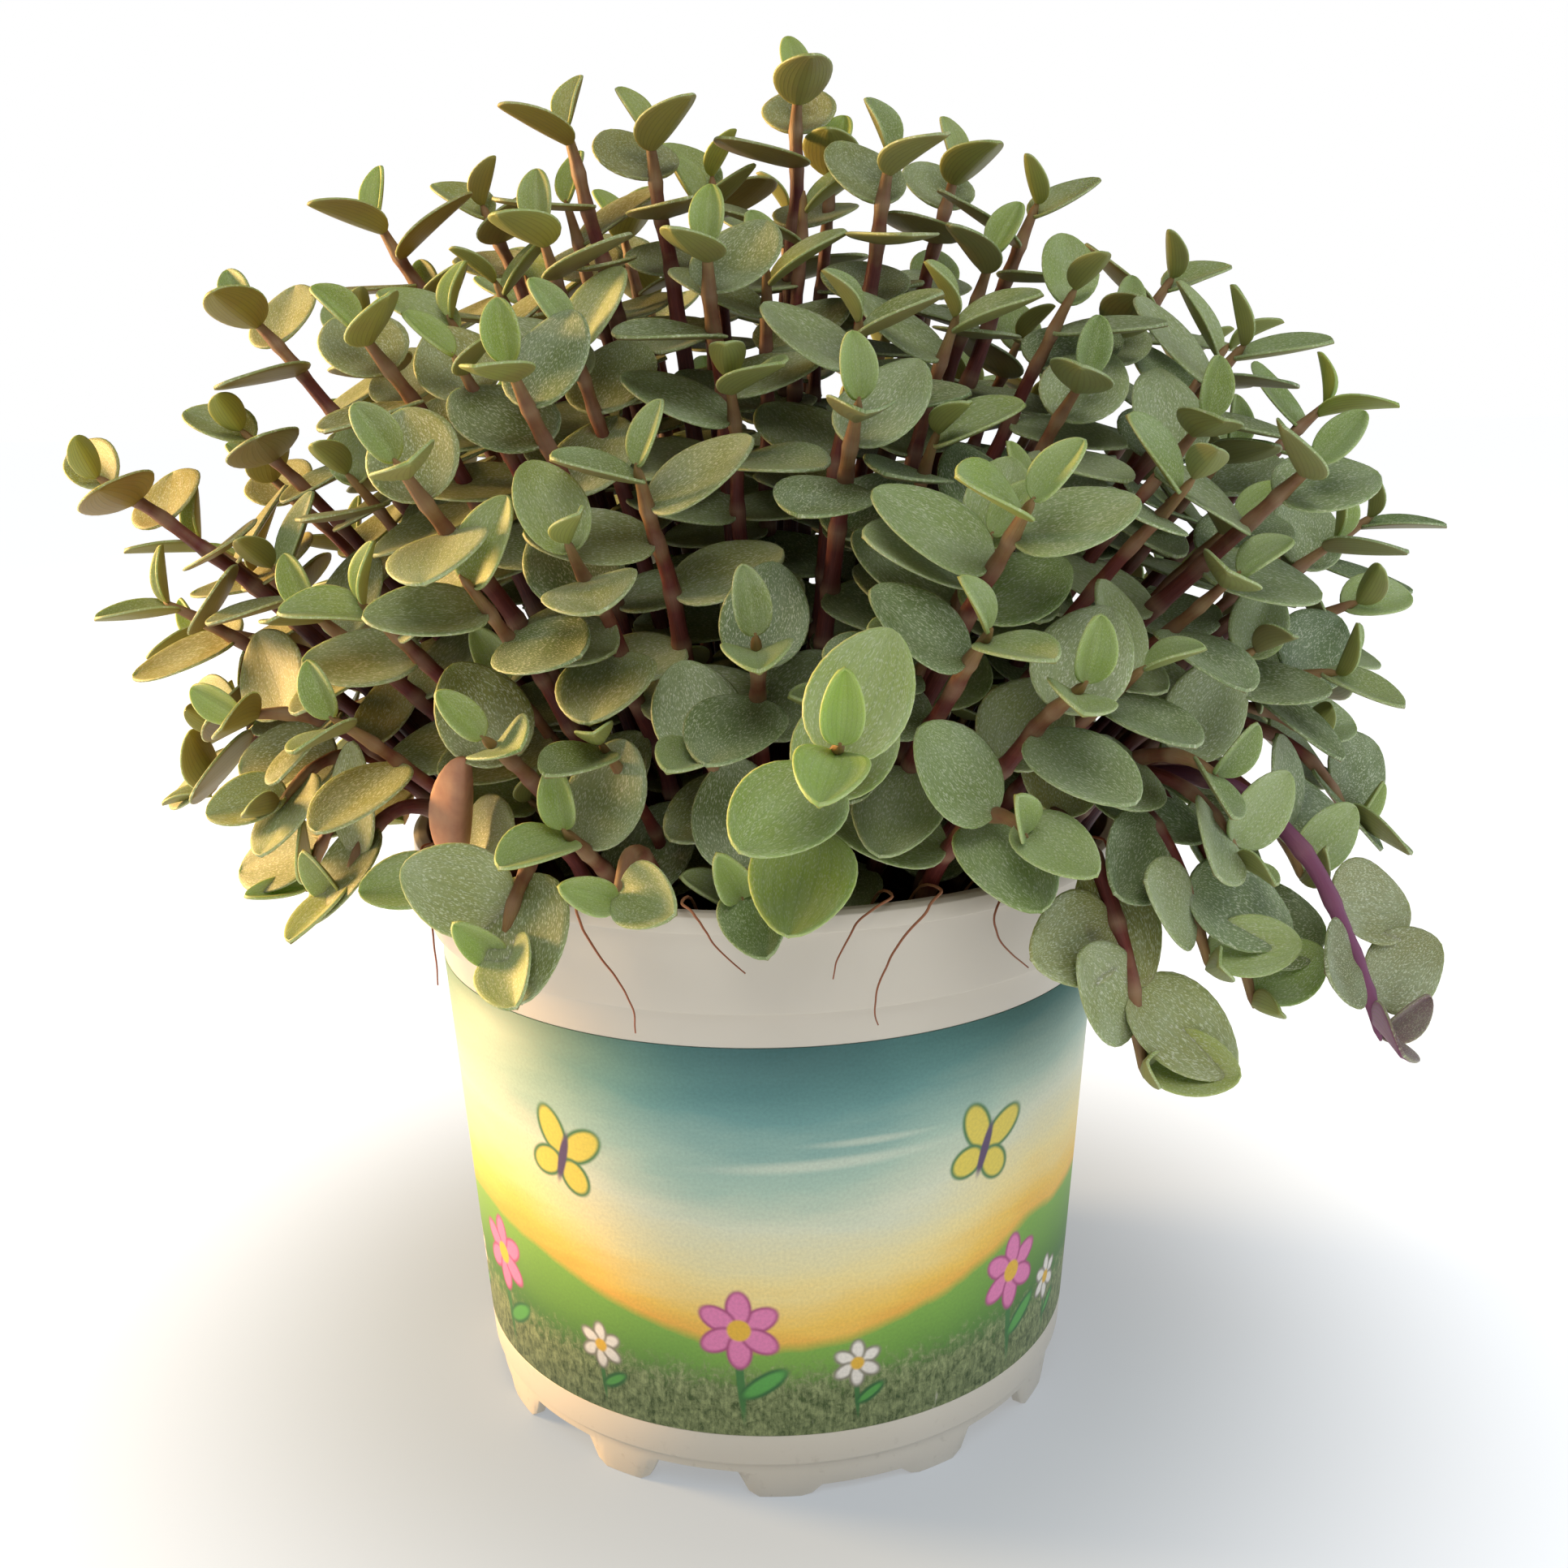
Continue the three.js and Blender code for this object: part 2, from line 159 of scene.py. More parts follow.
def mesh_from(bm, name, smooth=True):
    """Turns a bmesh into a mesh and frees it."""
    for face in bm.faces:
        face.smooth = smooth
    mesh = bpy.data.meshes.new(name)
    bm.to_mesh(mesh)
    bm.free()
    return mesh


print("linear mid grey:", round(linear("#808080")[0], 4))

# %% [markdown]
# ## Pot plastic
# The pot is injection-moulded polypropylene, coloured warm white. Polypropylene
# has an IOR of 1.49 and comes out of the mould satin. Daylight gets a little way
# into it, so edges look soft. Handling and watering leave faint dull patches
# and a trace of dried soil near the foot, so the colour and the
# roughness both vary slowly, and a fine 0.6 mm orange-peel bump breaks up the
# highlight.

# %% Pot plastic material
def pot_plastic():
    material, tree = start_material("satin_moulded_polypropylene")
    place = add_node(tree, "ShaderNodeTexCoord").outputs["Object"]
    patches = add_node(tree, "ShaderNodeTexNoise", {"Vector": place, "Scale": 1 / (28 * MM), "Detail": 4.0})
    peel = add_node(tree, "ShaderNodeTexNoise", {"Vector": place, "Scale": 1 / (0.6 * MM), "Detail": 2.0})
    specks = add_node(tree, "ShaderNodeTexNoise", {"Vector": place, "Scale": 1 / (1.6 * MM), "Detail": 3.0})
    dirt_here = add_node(tree, "ShaderNodeMapRange", {
        "Value": specks, "From Min": 0.62, "From Max": 0.78, "To Max": 0.35})
    height = add_node(tree, "ShaderNodeSeparateXYZ", {"Vector": place}).outputs["Z"]
    near_foot = add_node(tree, "ShaderNodeMapRange", {
        "Value": height, "From Min": 14 * MM, "From Max": 0.0, "To Max": 1.0})
    dirt = add_node(tree, "ShaderNodeMath", {
        0: dirt_here, 1: near_foot}, operation="MULTIPLY")
    colour = layered(tree, "#d9d2c5", (patches, "#cbc4b6"), (dirt, "#8b7f6c"))
    rough = add_node(tree, "ShaderNodeMapRange", {
        "Value": patches, "To Min": 0.34, "To Max": 0.5})
    bump = add_node(tree, "ShaderNodeBump", {
        "Height": peel, "Strength": 0.12, "Distance": 0.05 * MM})
    return surfaced(material, tree, {
        "Base Color": colour, "Roughness": rough, "IOR": 1.49,
        "Subsurface Weight": 0.12, "Subsurface Radius": (1.0, 0.9, 0.7), "Subsurface Scale": 1.5 * MM,
        "Normal": bump})


plastic = pot_plastic()
print("material:", plastic.name)

# %% [markdown]
# ## The pot
# A pot is a body of revolution, so its section is drawn once as a chain of edges
# and spun about the axis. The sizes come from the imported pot: its box gives the
# rim and the height, and the rest of the section follows the maker's drawing.
# The foot ring is notched for drainage. The notches are made before the bevel,
# by lifting the lower corners of the foot between the tabs, so their sides slope
# as the moulded ones do. A shallow groove under the band and under the lip gives
# the thin dark lines that real moulded steps show.

# %% Pot sizes
pot_low, pot_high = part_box("pot")
POT_HEIGHT = pot_high.z
RIM_RADIUS = pot_high.x
DRAFT = 0.0635
WALL = 1.6 * MM
BAND_STEP = 1.4 * MM
LIP_STEP = 0.9 * MM
BAND_HEIGHT = 15.6 * MM
LIP_HEIGHT = 3.0 * MM
FLOOR_HEIGHT = 6.0 * MM
FOOT_INSET = 0.7 * MM
FOOT_RING_TOP = 4.7 * MM
HUB_RADIUS = 24 * MM
HEADSPACE = 15.5 * MM
SOIL_TOP = POT_HEIGHT - HEADSPACE
BASE_RADIUS = RIM_RADIUS - BAND_STEP - LIP_STEP - DRAFT * POT_HEIGHT
label_low, label_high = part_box("picture_label")


def wall_radius(height):
    """Outside radius of the plain wall at a height."""
    return BASE_RADIUS + DRAFT * height


print("rim across %.1f mm, pot high %.1f mm" % (2000 * RIM_RADIUS, 1000 * POT_HEIGHT))

# %% Spin the section
SPIN_STEPS = 192
FILM_SEAT = 0.25 * MM
LEDGE_GROOVE = 0.3 * MM


def spun(section, start):
    """Spins a chain of (radius, height) points about the pot's axis, from a direction."""
    bm = bmesh.new()
    verts = [bm.verts.new((start[0] * r, start[1] * r, z)) for r, z in section]
    edges = [bm.edges.new(pair) for pair in zip(verts, verts[1:])]
    bmesh.ops.spin(bm, geom=verts + edges, cent=(0, 0, 0), axis=(0, 0, 1),
                   angle=2 * math.pi, steps=SPIN_STEPS, use_merge=True, use_duplicate=False)
    bmesh.ops.remove_doubles(bm, verts=bm.verts, dist=0.01 * MM)
    bmesh.ops.recalc_face_normals(bm, faces=bm.faces)
    return bm


band_low = POT_HEIGHT - BAND_HEIGHT
lip_low = POT_HEIGHT - LIP_HEIGHT
inside_top = wall_radius(POT_HEIGHT) + BAND_STEP - WALL
foot_radius = wall_radius(0) - FOOT_INSET
foot_section = [
    (0, FLOOR_HEIGHT), (HUB_RADIUS, FLOOR_HEIGHT), (foot_radius - WALL, FLOOR_HEIGHT),
    (foot_radius - WALL, FOOT_RING_TOP), (foot_radius - WALL, 0), (foot_radius, 0),
    (foot_radius + DRAFT * FOOT_RING_TOP, FOOT_RING_TOP),
    (foot_radius + DRAFT * FLOOR_HEIGHT, FLOOR_HEIGHT), (wall_radius(6.5 * MM), FLOOR_HEIGHT + FOOT_INSET)]
wall_section = [
    (wall_radius(label_low.z), label_low.z - 0.15 * MM),
    (wall_radius(label_low.z) - FILM_SEAT, label_low.z - 0.05 * MM),
    (wall_radius(label_high.z) - FILM_SEAT, label_high.z + 0.05 * MM),
    (wall_radius(label_high.z), label_high.z + 0.15 * MM),
    (wall_radius(band_low) - LEDGE_GROOVE, band_low + 0.1 * MM),
    (wall_radius(band_low) + BAND_STEP, band_low + 0.15 * MM),
    (wall_radius(lip_low) + BAND_STEP - LEDGE_GROOVE, lip_low),
    (RIM_RADIUS, lip_low + 0.05 * MM), (RIM_RADIUS, POT_HEIGHT - 0.5 * MM),
    (RIM_RADIUS - 0.8 * MM, POT_HEIGHT), (inside_top + 0.3 * MM, POT_HEIGHT),
    (inside_top, POT_HEIGHT - 0.6 * MM),
    (wall_radius(band_low) + BAND_STEP - WALL, band_low + BAND_STEP),
    (wall_radius(band_low) - WALL, band_low - 0.5 * MM),
    (wall_radius(FLOOR_HEIGHT) - WALL, FLOOR_HEIGHT + WALL), (0, FLOOR_HEIGHT + WALL)]
pot_bm = spun(foot_section + wall_section, (1, 0))
print("pot faces before the foot is notched:", len(pot_bm.faces))

# %% Notch the foot
NOTCH_COUNT = 12
NOTCH_HALF = math.radians(7.2)
NOTCH_SLOPE = math.radians(3.2)
NOTCH_DEPTH = 4.5 * MM
SHALLOW_DEPTH = 1.8 * MM


def notch_lift(angle):
    """How far the foot's lower edge is lifted at an angle round the pot from the front."""
    place = (angle / (2 * math.pi) * NOTCH_COUNT) % NOTCH_COUNT
    index = int(place)
    from_middle = abs(place - index - 0.5) / NOTCH_COUNT * 2 * math.pi
    share = min(max((NOTCH_HALF + NOTCH_SLOPE - from_middle) / NOTCH_SLOPE, 0), 1)
    smooth = share * share * (3 - 2 * share)
    return smooth * (SHALLOW_DEPTH if index % 3 == 0 else NOTCH_DEPTH)


for vert in pot_bm.verts:
    if vert.co.z < 0.01 * MM:
        around = math.atan2(vert.co.x, -vert.co.y)
        vert.co.z += notch_lift(around)
pot_mesh = mesh_from(pot_bm, "pot_shell")
pot_piece = make_piece("moulded_pot", pot_mesh, [plastic], "pot_plastic", "pot")
bevel = pot_piece.modifiers.new("soft_edges", "BEVEL")
bevel.width = 0.35 * MM
bevel.segments = 2
bevel.limit_method = "ANGLE"
bevel.angle_limit = math.radians(28)
print("pot faces:", len(pot_mesh.polygons))

# %% [markdown]
# ## The picture on the label
# The label is a thin printed film that was laid in the mould, so it sits flush
# in the wall. The print is a plain garden scene, a teal sky over a cream horizon,
# a low yellow sun glow, green hills and a strip of rough grass. The drawings on
# it are ovals laid over one another, daisies, butterflies and thin clouds, and
# each kind comes again at even steps round the pot. The film carries its own UV
# map in millimetres, across from the front and up from its lower edge. A Wrap
# node repeats that map, and a Mapping node turns it into each oval's unit circle.

# %% Ovals drawn on the film
LABEL_MM = 0.01
FILM_RADIUS = (wall_radius(label_low.z) + wall_radius(label_high.z)) / 2 / MM
FILM_LENGTH = 2 * math.pi * FILM_RADIUS


class Picture:
    """A print that is built up oval by oval, each over the last."""

    def __init__(self, tree, place, ground):
        self.tree = tree
        self.film = place
        self.place = place
        self.colour = ground

    def repeat(self, times, shift):
        """What is drawn next comes so many times round the film, the first at shift."""
        parts = add_node(self.tree, "ShaderNodeSeparateXYZ", {"Vector": self.film})
        moved = add_node(self.tree, "ShaderNodeMath", {
            0: parts.outputs["X"], 1: shift}, operation="SUBTRACT")
        half = FILM_LENGTH / times / 2
        wrapped = add_node(self.tree, "ShaderNodeMath", {
            0: moved, 1: half, 2: -half}, operation="WRAP")
        self.place = add_node(self.tree, "ShaderNodeCombineXYZ", {
            "X": wrapped, "Y": parts.outputs["Y"]})

    def oval(self, x, y, wide, high, colour, turn=0, soft=None, strength=1.0):
        """Paints one oval, centred at x, y and turned by some degrees, in millimetres."""
        soft = min(0.3, 0.6 / min(wide, high)) if soft is None else soft
        mapped = add_node(self.tree, "ShaderNodeMapping", {
            "Vector": self.place, "Location": (x, y, 0), "Rotation": (0, 0, math.radians(turn)),
            "Scale": (wide / 2, high / 2, 1)}, vector_type="TEXTURE")
        length = add_node(self.tree, "ShaderNodeVectorMath", {0: mapped}, operation="LENGTH")
        inside = add_node(self.tree, "ShaderNodeMapRange", {
            "Value": length, "From Min": 1 + soft, "From Max": 1 - soft,
            "To Max": strength}, interpolation_type="SMOOTHSTEP")
        self.colour = layered(self.tree, self.colour, (inside, colour))

    def outlined(self, x, y, wide, high, colour, edge, turn=0, line=0.8):
        """An oval with a darker outline, drawn as a larger oval behind it."""
        self.oval(x, y, wide + line, high + line, edge, turn)
        self.oval(x, y, wide - line / 2, high - line / 2, colour, turn)


print("film length: %.0f mm" % FILM_LENGTH)

# %% Sky, hills and grass
HILL_COUNT = 3


def landscape(tree, place):
    """The ground of the print: sky, low sun, hills and grass. Returns the last colour node."""
    parts = add_node(tree, "ShaderNodeSeparateXYZ", {"Vector": place})
    across, up = parts.outputs["X"], parts.outputs["Y"]
    cloud_place = add_node(tree, "ShaderNodeMapping", {"Vector": place, "Scale": (0.035, 0.16, 1)})
    clouds = add_node(tree, "ShaderNodeTexNoise", {
        "Vector": cloud_place, "Scale": 1.0, "Detail": 5.0, "Roughness": 0.6})
    wander = add_node(tree, "ShaderNodeTexNoise", {"Vector": place, "Scale": 0.05, "Detail": 3.0})
    side = add_node(tree, "ShaderNodeMath", {0: across, 1: HILL_COUNT / FILM_RADIUS}, operation="MULTIPLY")
    swell = add_node(tree, "ShaderNodeMath", {0: side}, operation="COSINE")
    crest = add_node(tree, "ShaderNodeMath", {
        0: swell, 1: -6.0, 2: 19.0}, operation="MULTIPLY_ADD")
    rough_crest = add_node(tree, "ShaderNodeMath", {
        0: wander, 1: 5.0, 2: crest}, operation="MULTIPLY_ADD")
    below = add_node(tree, "ShaderNodeMath", {0: rough_crest, 1: up}, operation="SUBTRACT")
    drift = add_node(tree, "ShaderNodeMath", {
        0: clouds, 1: 9.0}, operation="MULTIPLY")
    above = add_node(tree, "ShaderNodeMath", {
        0: drift, 1: below}, operation="SUBTRACT")
    sky_height = add_node(tree, "ShaderNodeMapRange", {"Value": above, "From Min": 3.0, "From Max": 54.0})
    sky = add_node(tree, "ShaderNodeValToRGB", {"Fac": sky_height})
    set_stops(sky, [(0.0, "#e9a53a"), (0.1, "#f2c75a"), (0.24, "#f0dd9a"), (0.42, "#d9dcc0"),
                    (0.58, "#a9c4b2"), (0.78, "#6f9f9c"), (1.0, "#4f8283")])
    on_hill = add_node(tree, "ShaderNodeMapRange", {
        "Value": below, "From Min": -1.2, "From Max": 0.8})
    hill_tone = add_node(tree, "ShaderNodeMapRange", {
        "Value": below, "From Min": 0.0, "From Max": 14.0})
    hills = layered(tree, "#7fae45", (hill_tone, "#4a7a2f"))
    tufts = add_node(tree, "ShaderNodeTexNoise", {
        "Vector": place, "Scale": 0.55, "Detail": 8.0, "Roughness": 0.72, "Distortion": 0.8})
    blades_place = add_node(tree, "ShaderNodeMapping", {"Vector": place, "Scale": (1.5, 0.45, 1)})
    blades = add_node(tree, "ShaderNodeTexNoise", {
        "Vector": blades_place, "Scale": 1.0, "Detail": 6.0, "Roughness": 0.75})
    mottle = add_node(tree, "ShaderNodeMath", {
        0: blades, 1: tufts}, operation="ADD")
    grass_tone = add_node(tree, "ShaderNodeMapRange", {
        "Value": mottle, "From Min": 0.82, "From Max": 1.24})
    grass = layered(tree, "#3c521c", (grass_tone, "#a8b47c"))
    grass_line = add_node(tree, "ShaderNodeMath", {
        0: tufts, 1: 16.0, 2: 3.0}, operation="MULTIPLY_ADD")
    in_grass = add_node(tree, "ShaderNodeMath", {0: grass_line, 1: up}, operation="SUBTRACT")
    grass_here = add_node(tree, "ShaderNodeMapRange", {
        "Value": in_grass, "From Min": -2.0, "From Max": 2.5})
    return layered(tree, sky, (on_hill, hills), (grass_here, grass))


print("hills round the film:", HILL_COUNT)

# %% The small drawings
def draw_daisy(picture, height, size, petal, edge):
    """A six-petalled flower on a stem with one leaf, its head at a height on the film."""
    picture.oval(0, height - 5.6 * size, 0.9 * size, 10.0 * size, "#3f7a3a", 3)
    picture.outlined(2.5 * size, height - 6.4 * size, 5.4 * size, 1.8 * size, "#5aa84c", "#2f6a34", 34)
    reach = 2.5 * size
    for turn in range(30, 390, 60):
        way = math.radians(turn)
        picture.outlined(reach * math.cos(way), height + reach * math.sin(way),
                         3.9 * size, 2.4 * size, petal, edge, turn, 0.6)
    picture.oval(0, height, reach, reach, "#e6b63a")


def draw_butterfly(picture, height, tilt, wing, edge):
    """A butterfly with four plain wings, seen from above, at a height on the film."""
    for turn, reach, wide in ((52, 4.6, 8.0), (128, 4.6, 8.0), (-38, 3.6, 5.8), (218, 3.6, 5.8)):
        way = math.radians(turn + tilt)
        picture.outlined(reach * math.cos(way), height + reach * math.sin(way),
                         wide, 4.6, wing, edge, turn + tilt)
    picture.oval(0, height, 1.6, 8.6, "#5b4668", tilt)


def draw_cloud(picture, height, wide):
    """Two thin wisps, one over the other, at a height on the film."""
    picture.oval(0, height, wide, 1.7, "#dfe3cd", 2, 0.7, 0.55)
    picture.oval(wide / 5, height + 3.2, wide / 2, 1.1, "#dfe3cd", 0, 0.7, 0.45)


print("drawings: daisy, butterfly and cloud")


# %% [markdown]
# A printed film is polypropylene too, smoother than the pot around it. The ink
# shows a fine dot screen and slow uneven wear, which keeps the print from
# looking like paint. The dots of the real screen are far too fine to show, so
# the grain here is 0.5 mm.

# %% Label film material
def label_film():
    material, tree = start_material("printed_label_film")
    uv = add_node(tree, "ShaderNodeUVMap", uv_map="film")
    place = add_node(tree, "ShaderNodeVectorMath", {
        0: uv, 1: (1 / LABEL_MM, 1 / LABEL_MM, 0)}, operation="MULTIPLY")
    picture = Picture(tree, place, landscape(tree, place))
    picture.repeat(4, 8)
    draw_cloud(picture, 47, 30)
    picture.repeat(5, 34)
    draw_butterfly(picture, 44, -16, "#e2cd54", "#4e7d4a")
    picture.repeat(7, -6)
    draw_daisy(picture, 19, 1.5, "#e07fb0", "#a8487a")
    picture.repeat(8, -30)
    draw_daisy(picture, 12, 0.9, "#ece6dc", "#8a8474")
    streak_place = add_node(tree, "ShaderNodeMapping", {
        "Vector": place, "Rotation": (0, 0, 0.5), "Scale": (0.5, 0.08, 1)})
    streaks = add_node(tree, "ShaderNodeTexNoise", {
        "Vector": streak_place, "Scale": 1.0, "Detail": 6.0, "Roughness": 0.65})
    low_edge = add_node(tree, "ShaderNodeSeparateXYZ", {"Vector": place}).outputs["Y"]
    scuffed = add_node(tree, "ShaderNodeMapRange", {
        "Value": low_edge, "From Min": 9.0, "From Max": 2.0})
    scratch = add_node(tree, "ShaderNodeMapRange", {
        "Value": streaks, "From Min": 0.66, "From Max": 0.72})
    wear = add_node(tree, "ShaderNodeMath", {
        0: scuffed, 1: scratch}, operation="MULTIPLY")
    worn = layered(tree, picture.colour, (wear, "#c9c6b4"))
    grain = add_node(tree, "ShaderNodeTexNoise", {"Vector": place, "Scale": 2.0, "Detail": 2.0})
    grain_tone = add_node(tree, "ShaderNodeMapRange", {
        "Value": grain, "To Min": 0.82, "To Max": 1.14})
    inked = add_node(tree, "ShaderNodeMix", {
        0: 1.0, 6: worn, 7: grain_tone}, data_type="RGBA", blend_type="MULTIPLY")
    rough = add_node(tree, "ShaderNodeMapRange", {
        "Value": grain, "To Min": 0.48, "To Max": 0.6})
    return surfaced(material, tree, {
        "Base Color": inked, "Roughness": rough, "IOR": 1.49})


film_skin = label_film()
print("material:", film_skin.name)

# %% [markdown]
# ## The label
# The film is a short cone. It is spun like the pot, from an edge that lies just
# proud of its seat, and gets its thickness from `solidify`. Its UV map is set
# from each corner's angle and height, so the print is in true millimetres. The
# seam of the film is at the back, as is usual.

# %% Label piece
FILM_THICKNESS = 0.2 * MM
FILM_PROUD = 0.02 * MM
FILM_ROWS = 4
film_heights = [label_low.z + (label_high.z - label_low.z) * i / FILM_ROWS for i in range(FILM_ROWS + 1)]
film_bm = spun([(wall_radius(height) + FILM_PROUD, height) for height in film_heights], (0, 1))
if sum(face.normal.dot(face.calc_center_median().xy.to_3d()) for face in film_bm.faces) < 0:
    bmesh.ops.reverse_faces(film_bm, faces=film_bm.faces)
film_uv = film_bm.loops.layers.uv.new("film")
for face in film_bm.faces:
    centre = face.calc_center_median()
    centre_angle = math.atan2(centre.x, -centre.y)
    for loop in face.loops:
        angle = math.atan2(loop.vert.co.x, -loop.vert.co.y)
        angle += 2 * math.pi * round((centre_angle - angle) / (2 * math.pi))
        height = (loop.vert.co.z - label_low.z) / MM
        loop[film_uv].uv = (angle * FILM_RADIUS * LABEL_MM, height * LABEL_MM)
bmesh.ops.solidify(film_bm, geom=film_bm.faces[:], thickness=FILM_THICKNESS)
film_mesh = mesh_from(film_bm, "label_sleeve")
make_piece("label_sleeve", film_mesh, [film_skin], "label_film", "picture_label")
print("label sleeve: %.1f mm high, faces: %d" % ((label_high.z - label_low.z) / MM, len(film_mesh.polygons)))

# %% [markdown]
# ## Potting mix
# Peat-based mix is a heap of dark fibrous crumbs, so a flat disc will not do. A
# round grid is lifted by noise of two sizes, 9 mm lumps and 2 mm crumbs. It sinks
# a little at the wall, as it does after watering. Loose crumbs are low icospheres
# pushed out of round, all joined in one piece.

# %% Potting mix material
def potting_mix():
    material, tree = start_material("moist_peat_potting_mix")
    place = add_node(tree, "ShaderNodeTexCoord").outputs["Object"]
    lumps = add_node(tree, "ShaderNodeTexNoise", {
        "Vector": place, "Scale": 1 / (2.2 * MM), "Detail": 6.0, "Roughness": 0.65})
    fibres_place = add_node(tree, "ShaderNodeMapping", {"Vector": place, "Scale": (900, 160, 900)})
    fibres = add_node(tree, "ShaderNodeTexNoise", {
        "Vector": fibres_place, "Scale": 1.0, "Detail": 3.0})
    colour = add_node(tree, "ShaderNodeValToRGB", {"Fac": lumps})
    set_stops(colour, [(0.3, "#1a120d"), (0.55, "#35261c"), (0.78, "#6a5140")])
    strand = add_node(tree, "ShaderNodeMapRange", {
        "Value": fibres, "From Min": 0.62, "From Max": 0.7, "To Max": 0.5})
    bump = add_node(tree, "ShaderNodeBump", {
        "Height": lumps, "Strength": 0.7, "Distance": 0.5 * MM})
    return surfaced(material, tree, {
        "Base Color": layered(tree, colour, (strand, "#86694c")), "Roughness": 0.92, "Normal": bump})


peat = potting_mix()
print("material:", peat.name)

# %% Potting mix pieces
MIX_GAP = 0.3 * MM
CRUMB_COUNT = 620
mix_reach = wall_radius(SOIL_TOP) - WALL - MIX_GAP
mix_rng = random.Random(11)


def mix_height(x, y):
    """How far the mix stands above its nominal level at a place, in metres."""
    spot = Vector((x, y, 0))
    lumps = noise.noise(spot / (9 * MM)) * 1.5 + noise.noise(spot / (2.4 * MM)) * 0.8
    at_wall = max(0, math.hypot(x, y) / mix_reach - 0.82) / 0.18
    return (lumps - 1.6 * at_wall) * MM


mix_bm = bmesh.new()
bmesh.ops.create_circle(mix_bm, cap_ends=True, cap_tris=True, segments=96, radius=mix_reach,
                        matrix=Matrix.Translation((0, 0, SOIL_TOP)))
bmesh.ops.subdivide_edges(mix_bm, edges=[e for e in mix_bm.edges if not e.is_boundary], cuts=26,
                          use_grid_fill=True)
for vert in mix_bm.verts:
    vert.co.z += mix_height(vert.co.x, vert.co.y)
rim_edges = [e for e in mix_bm.edges if e.is_boundary]
skirt = bmesh.ops.extrude_edge_only(mix_bm, edges=rim_edges)["geom"]
skirt_verts = [g for g in skirt if isinstance(g, bmesh.types.BMVert)]
mix_floor = FLOOR_HEIGHT + WALL + MIX_GAP
for vert in skirt_verts:
    shrink = (wall_radius(mix_floor) - WALL - MIX_GAP) / vert.co.xy.length
    vert.co = Vector((vert.co.x * shrink, vert.co.y * shrink, mix_floor))
bmesh.ops.contextual_create(mix_bm, geom=[e for e in mix_bm.edges if e.is_boundary])
bmesh.ops.recalc_face_normals(mix_bm, faces=mix_bm.faces)
mix_piece = make_piece("potting_mix_body", mesh_from(mix_bm, "potting_mix_body"), [peat],
                       "potting_mix", "potting_mix")
crumb_bm = bmesh.new()
for _ in range(CRUMB_COUNT):
    reach = mix_reach * 0.96 * math.sqrt(mix_rng.random())
    angle = mix_rng.uniform(0, 2 * math.pi)
    x, y = reach * math.cos(angle), reach * math.sin(angle)
    size = mix_rng.choice((0.5, 0.7, 0.9, 1.3, 1.9)) * MM
    spot = Matrix.Translation((x, y, SOIL_TOP + mix_height(x, y) + 0.3 * size))
    turn = (Matrix.Rotation(mix_rng.uniform(0, math.pi), 4, "Z")
            @ Matrix.Rotation(mix_rng.uniform(0, 1.5), 4, "X"))
    squeeze = Matrix.Diagonal((1, mix_rng.uniform(0.5, 1), mix_rng.uniform(0.5, 0.9), 1))
    made = bmesh.ops.create_icosphere(crumb_bm, subdivisions=1, radius=size, matrix=spot @ turn @ squeeze)
    for vert in made["verts"]:
        vert.co += noise.noise_vector(vert.co / size) * size * 0.35
crumbs = make_piece("potting_mix_crumbs", mesh_from(crumb_bm, "potting_mix_crumbs", smooth=False),
                    [peat], "potting_mix", "potting_mix")
print("mix faces:", len(mix_piece.data.polygons), "crumb faces:", len(crumbs.data.polygons))

# %% [markdown]
# ## Where the shoots grow
# The plant is many stems rising from a crowded middle and leaning out to the
# light, so their tips form a low dome. The plan gives each tip, and each stem is
# one smooth curve from the mix to its tip. A tip hanging outside the pot is
# reached by an arch over the rim. The same rules as in the CAD model are followed
# here, in the same order, so each shoot lands on its solid. All sizes in this
# part are in millimetres.

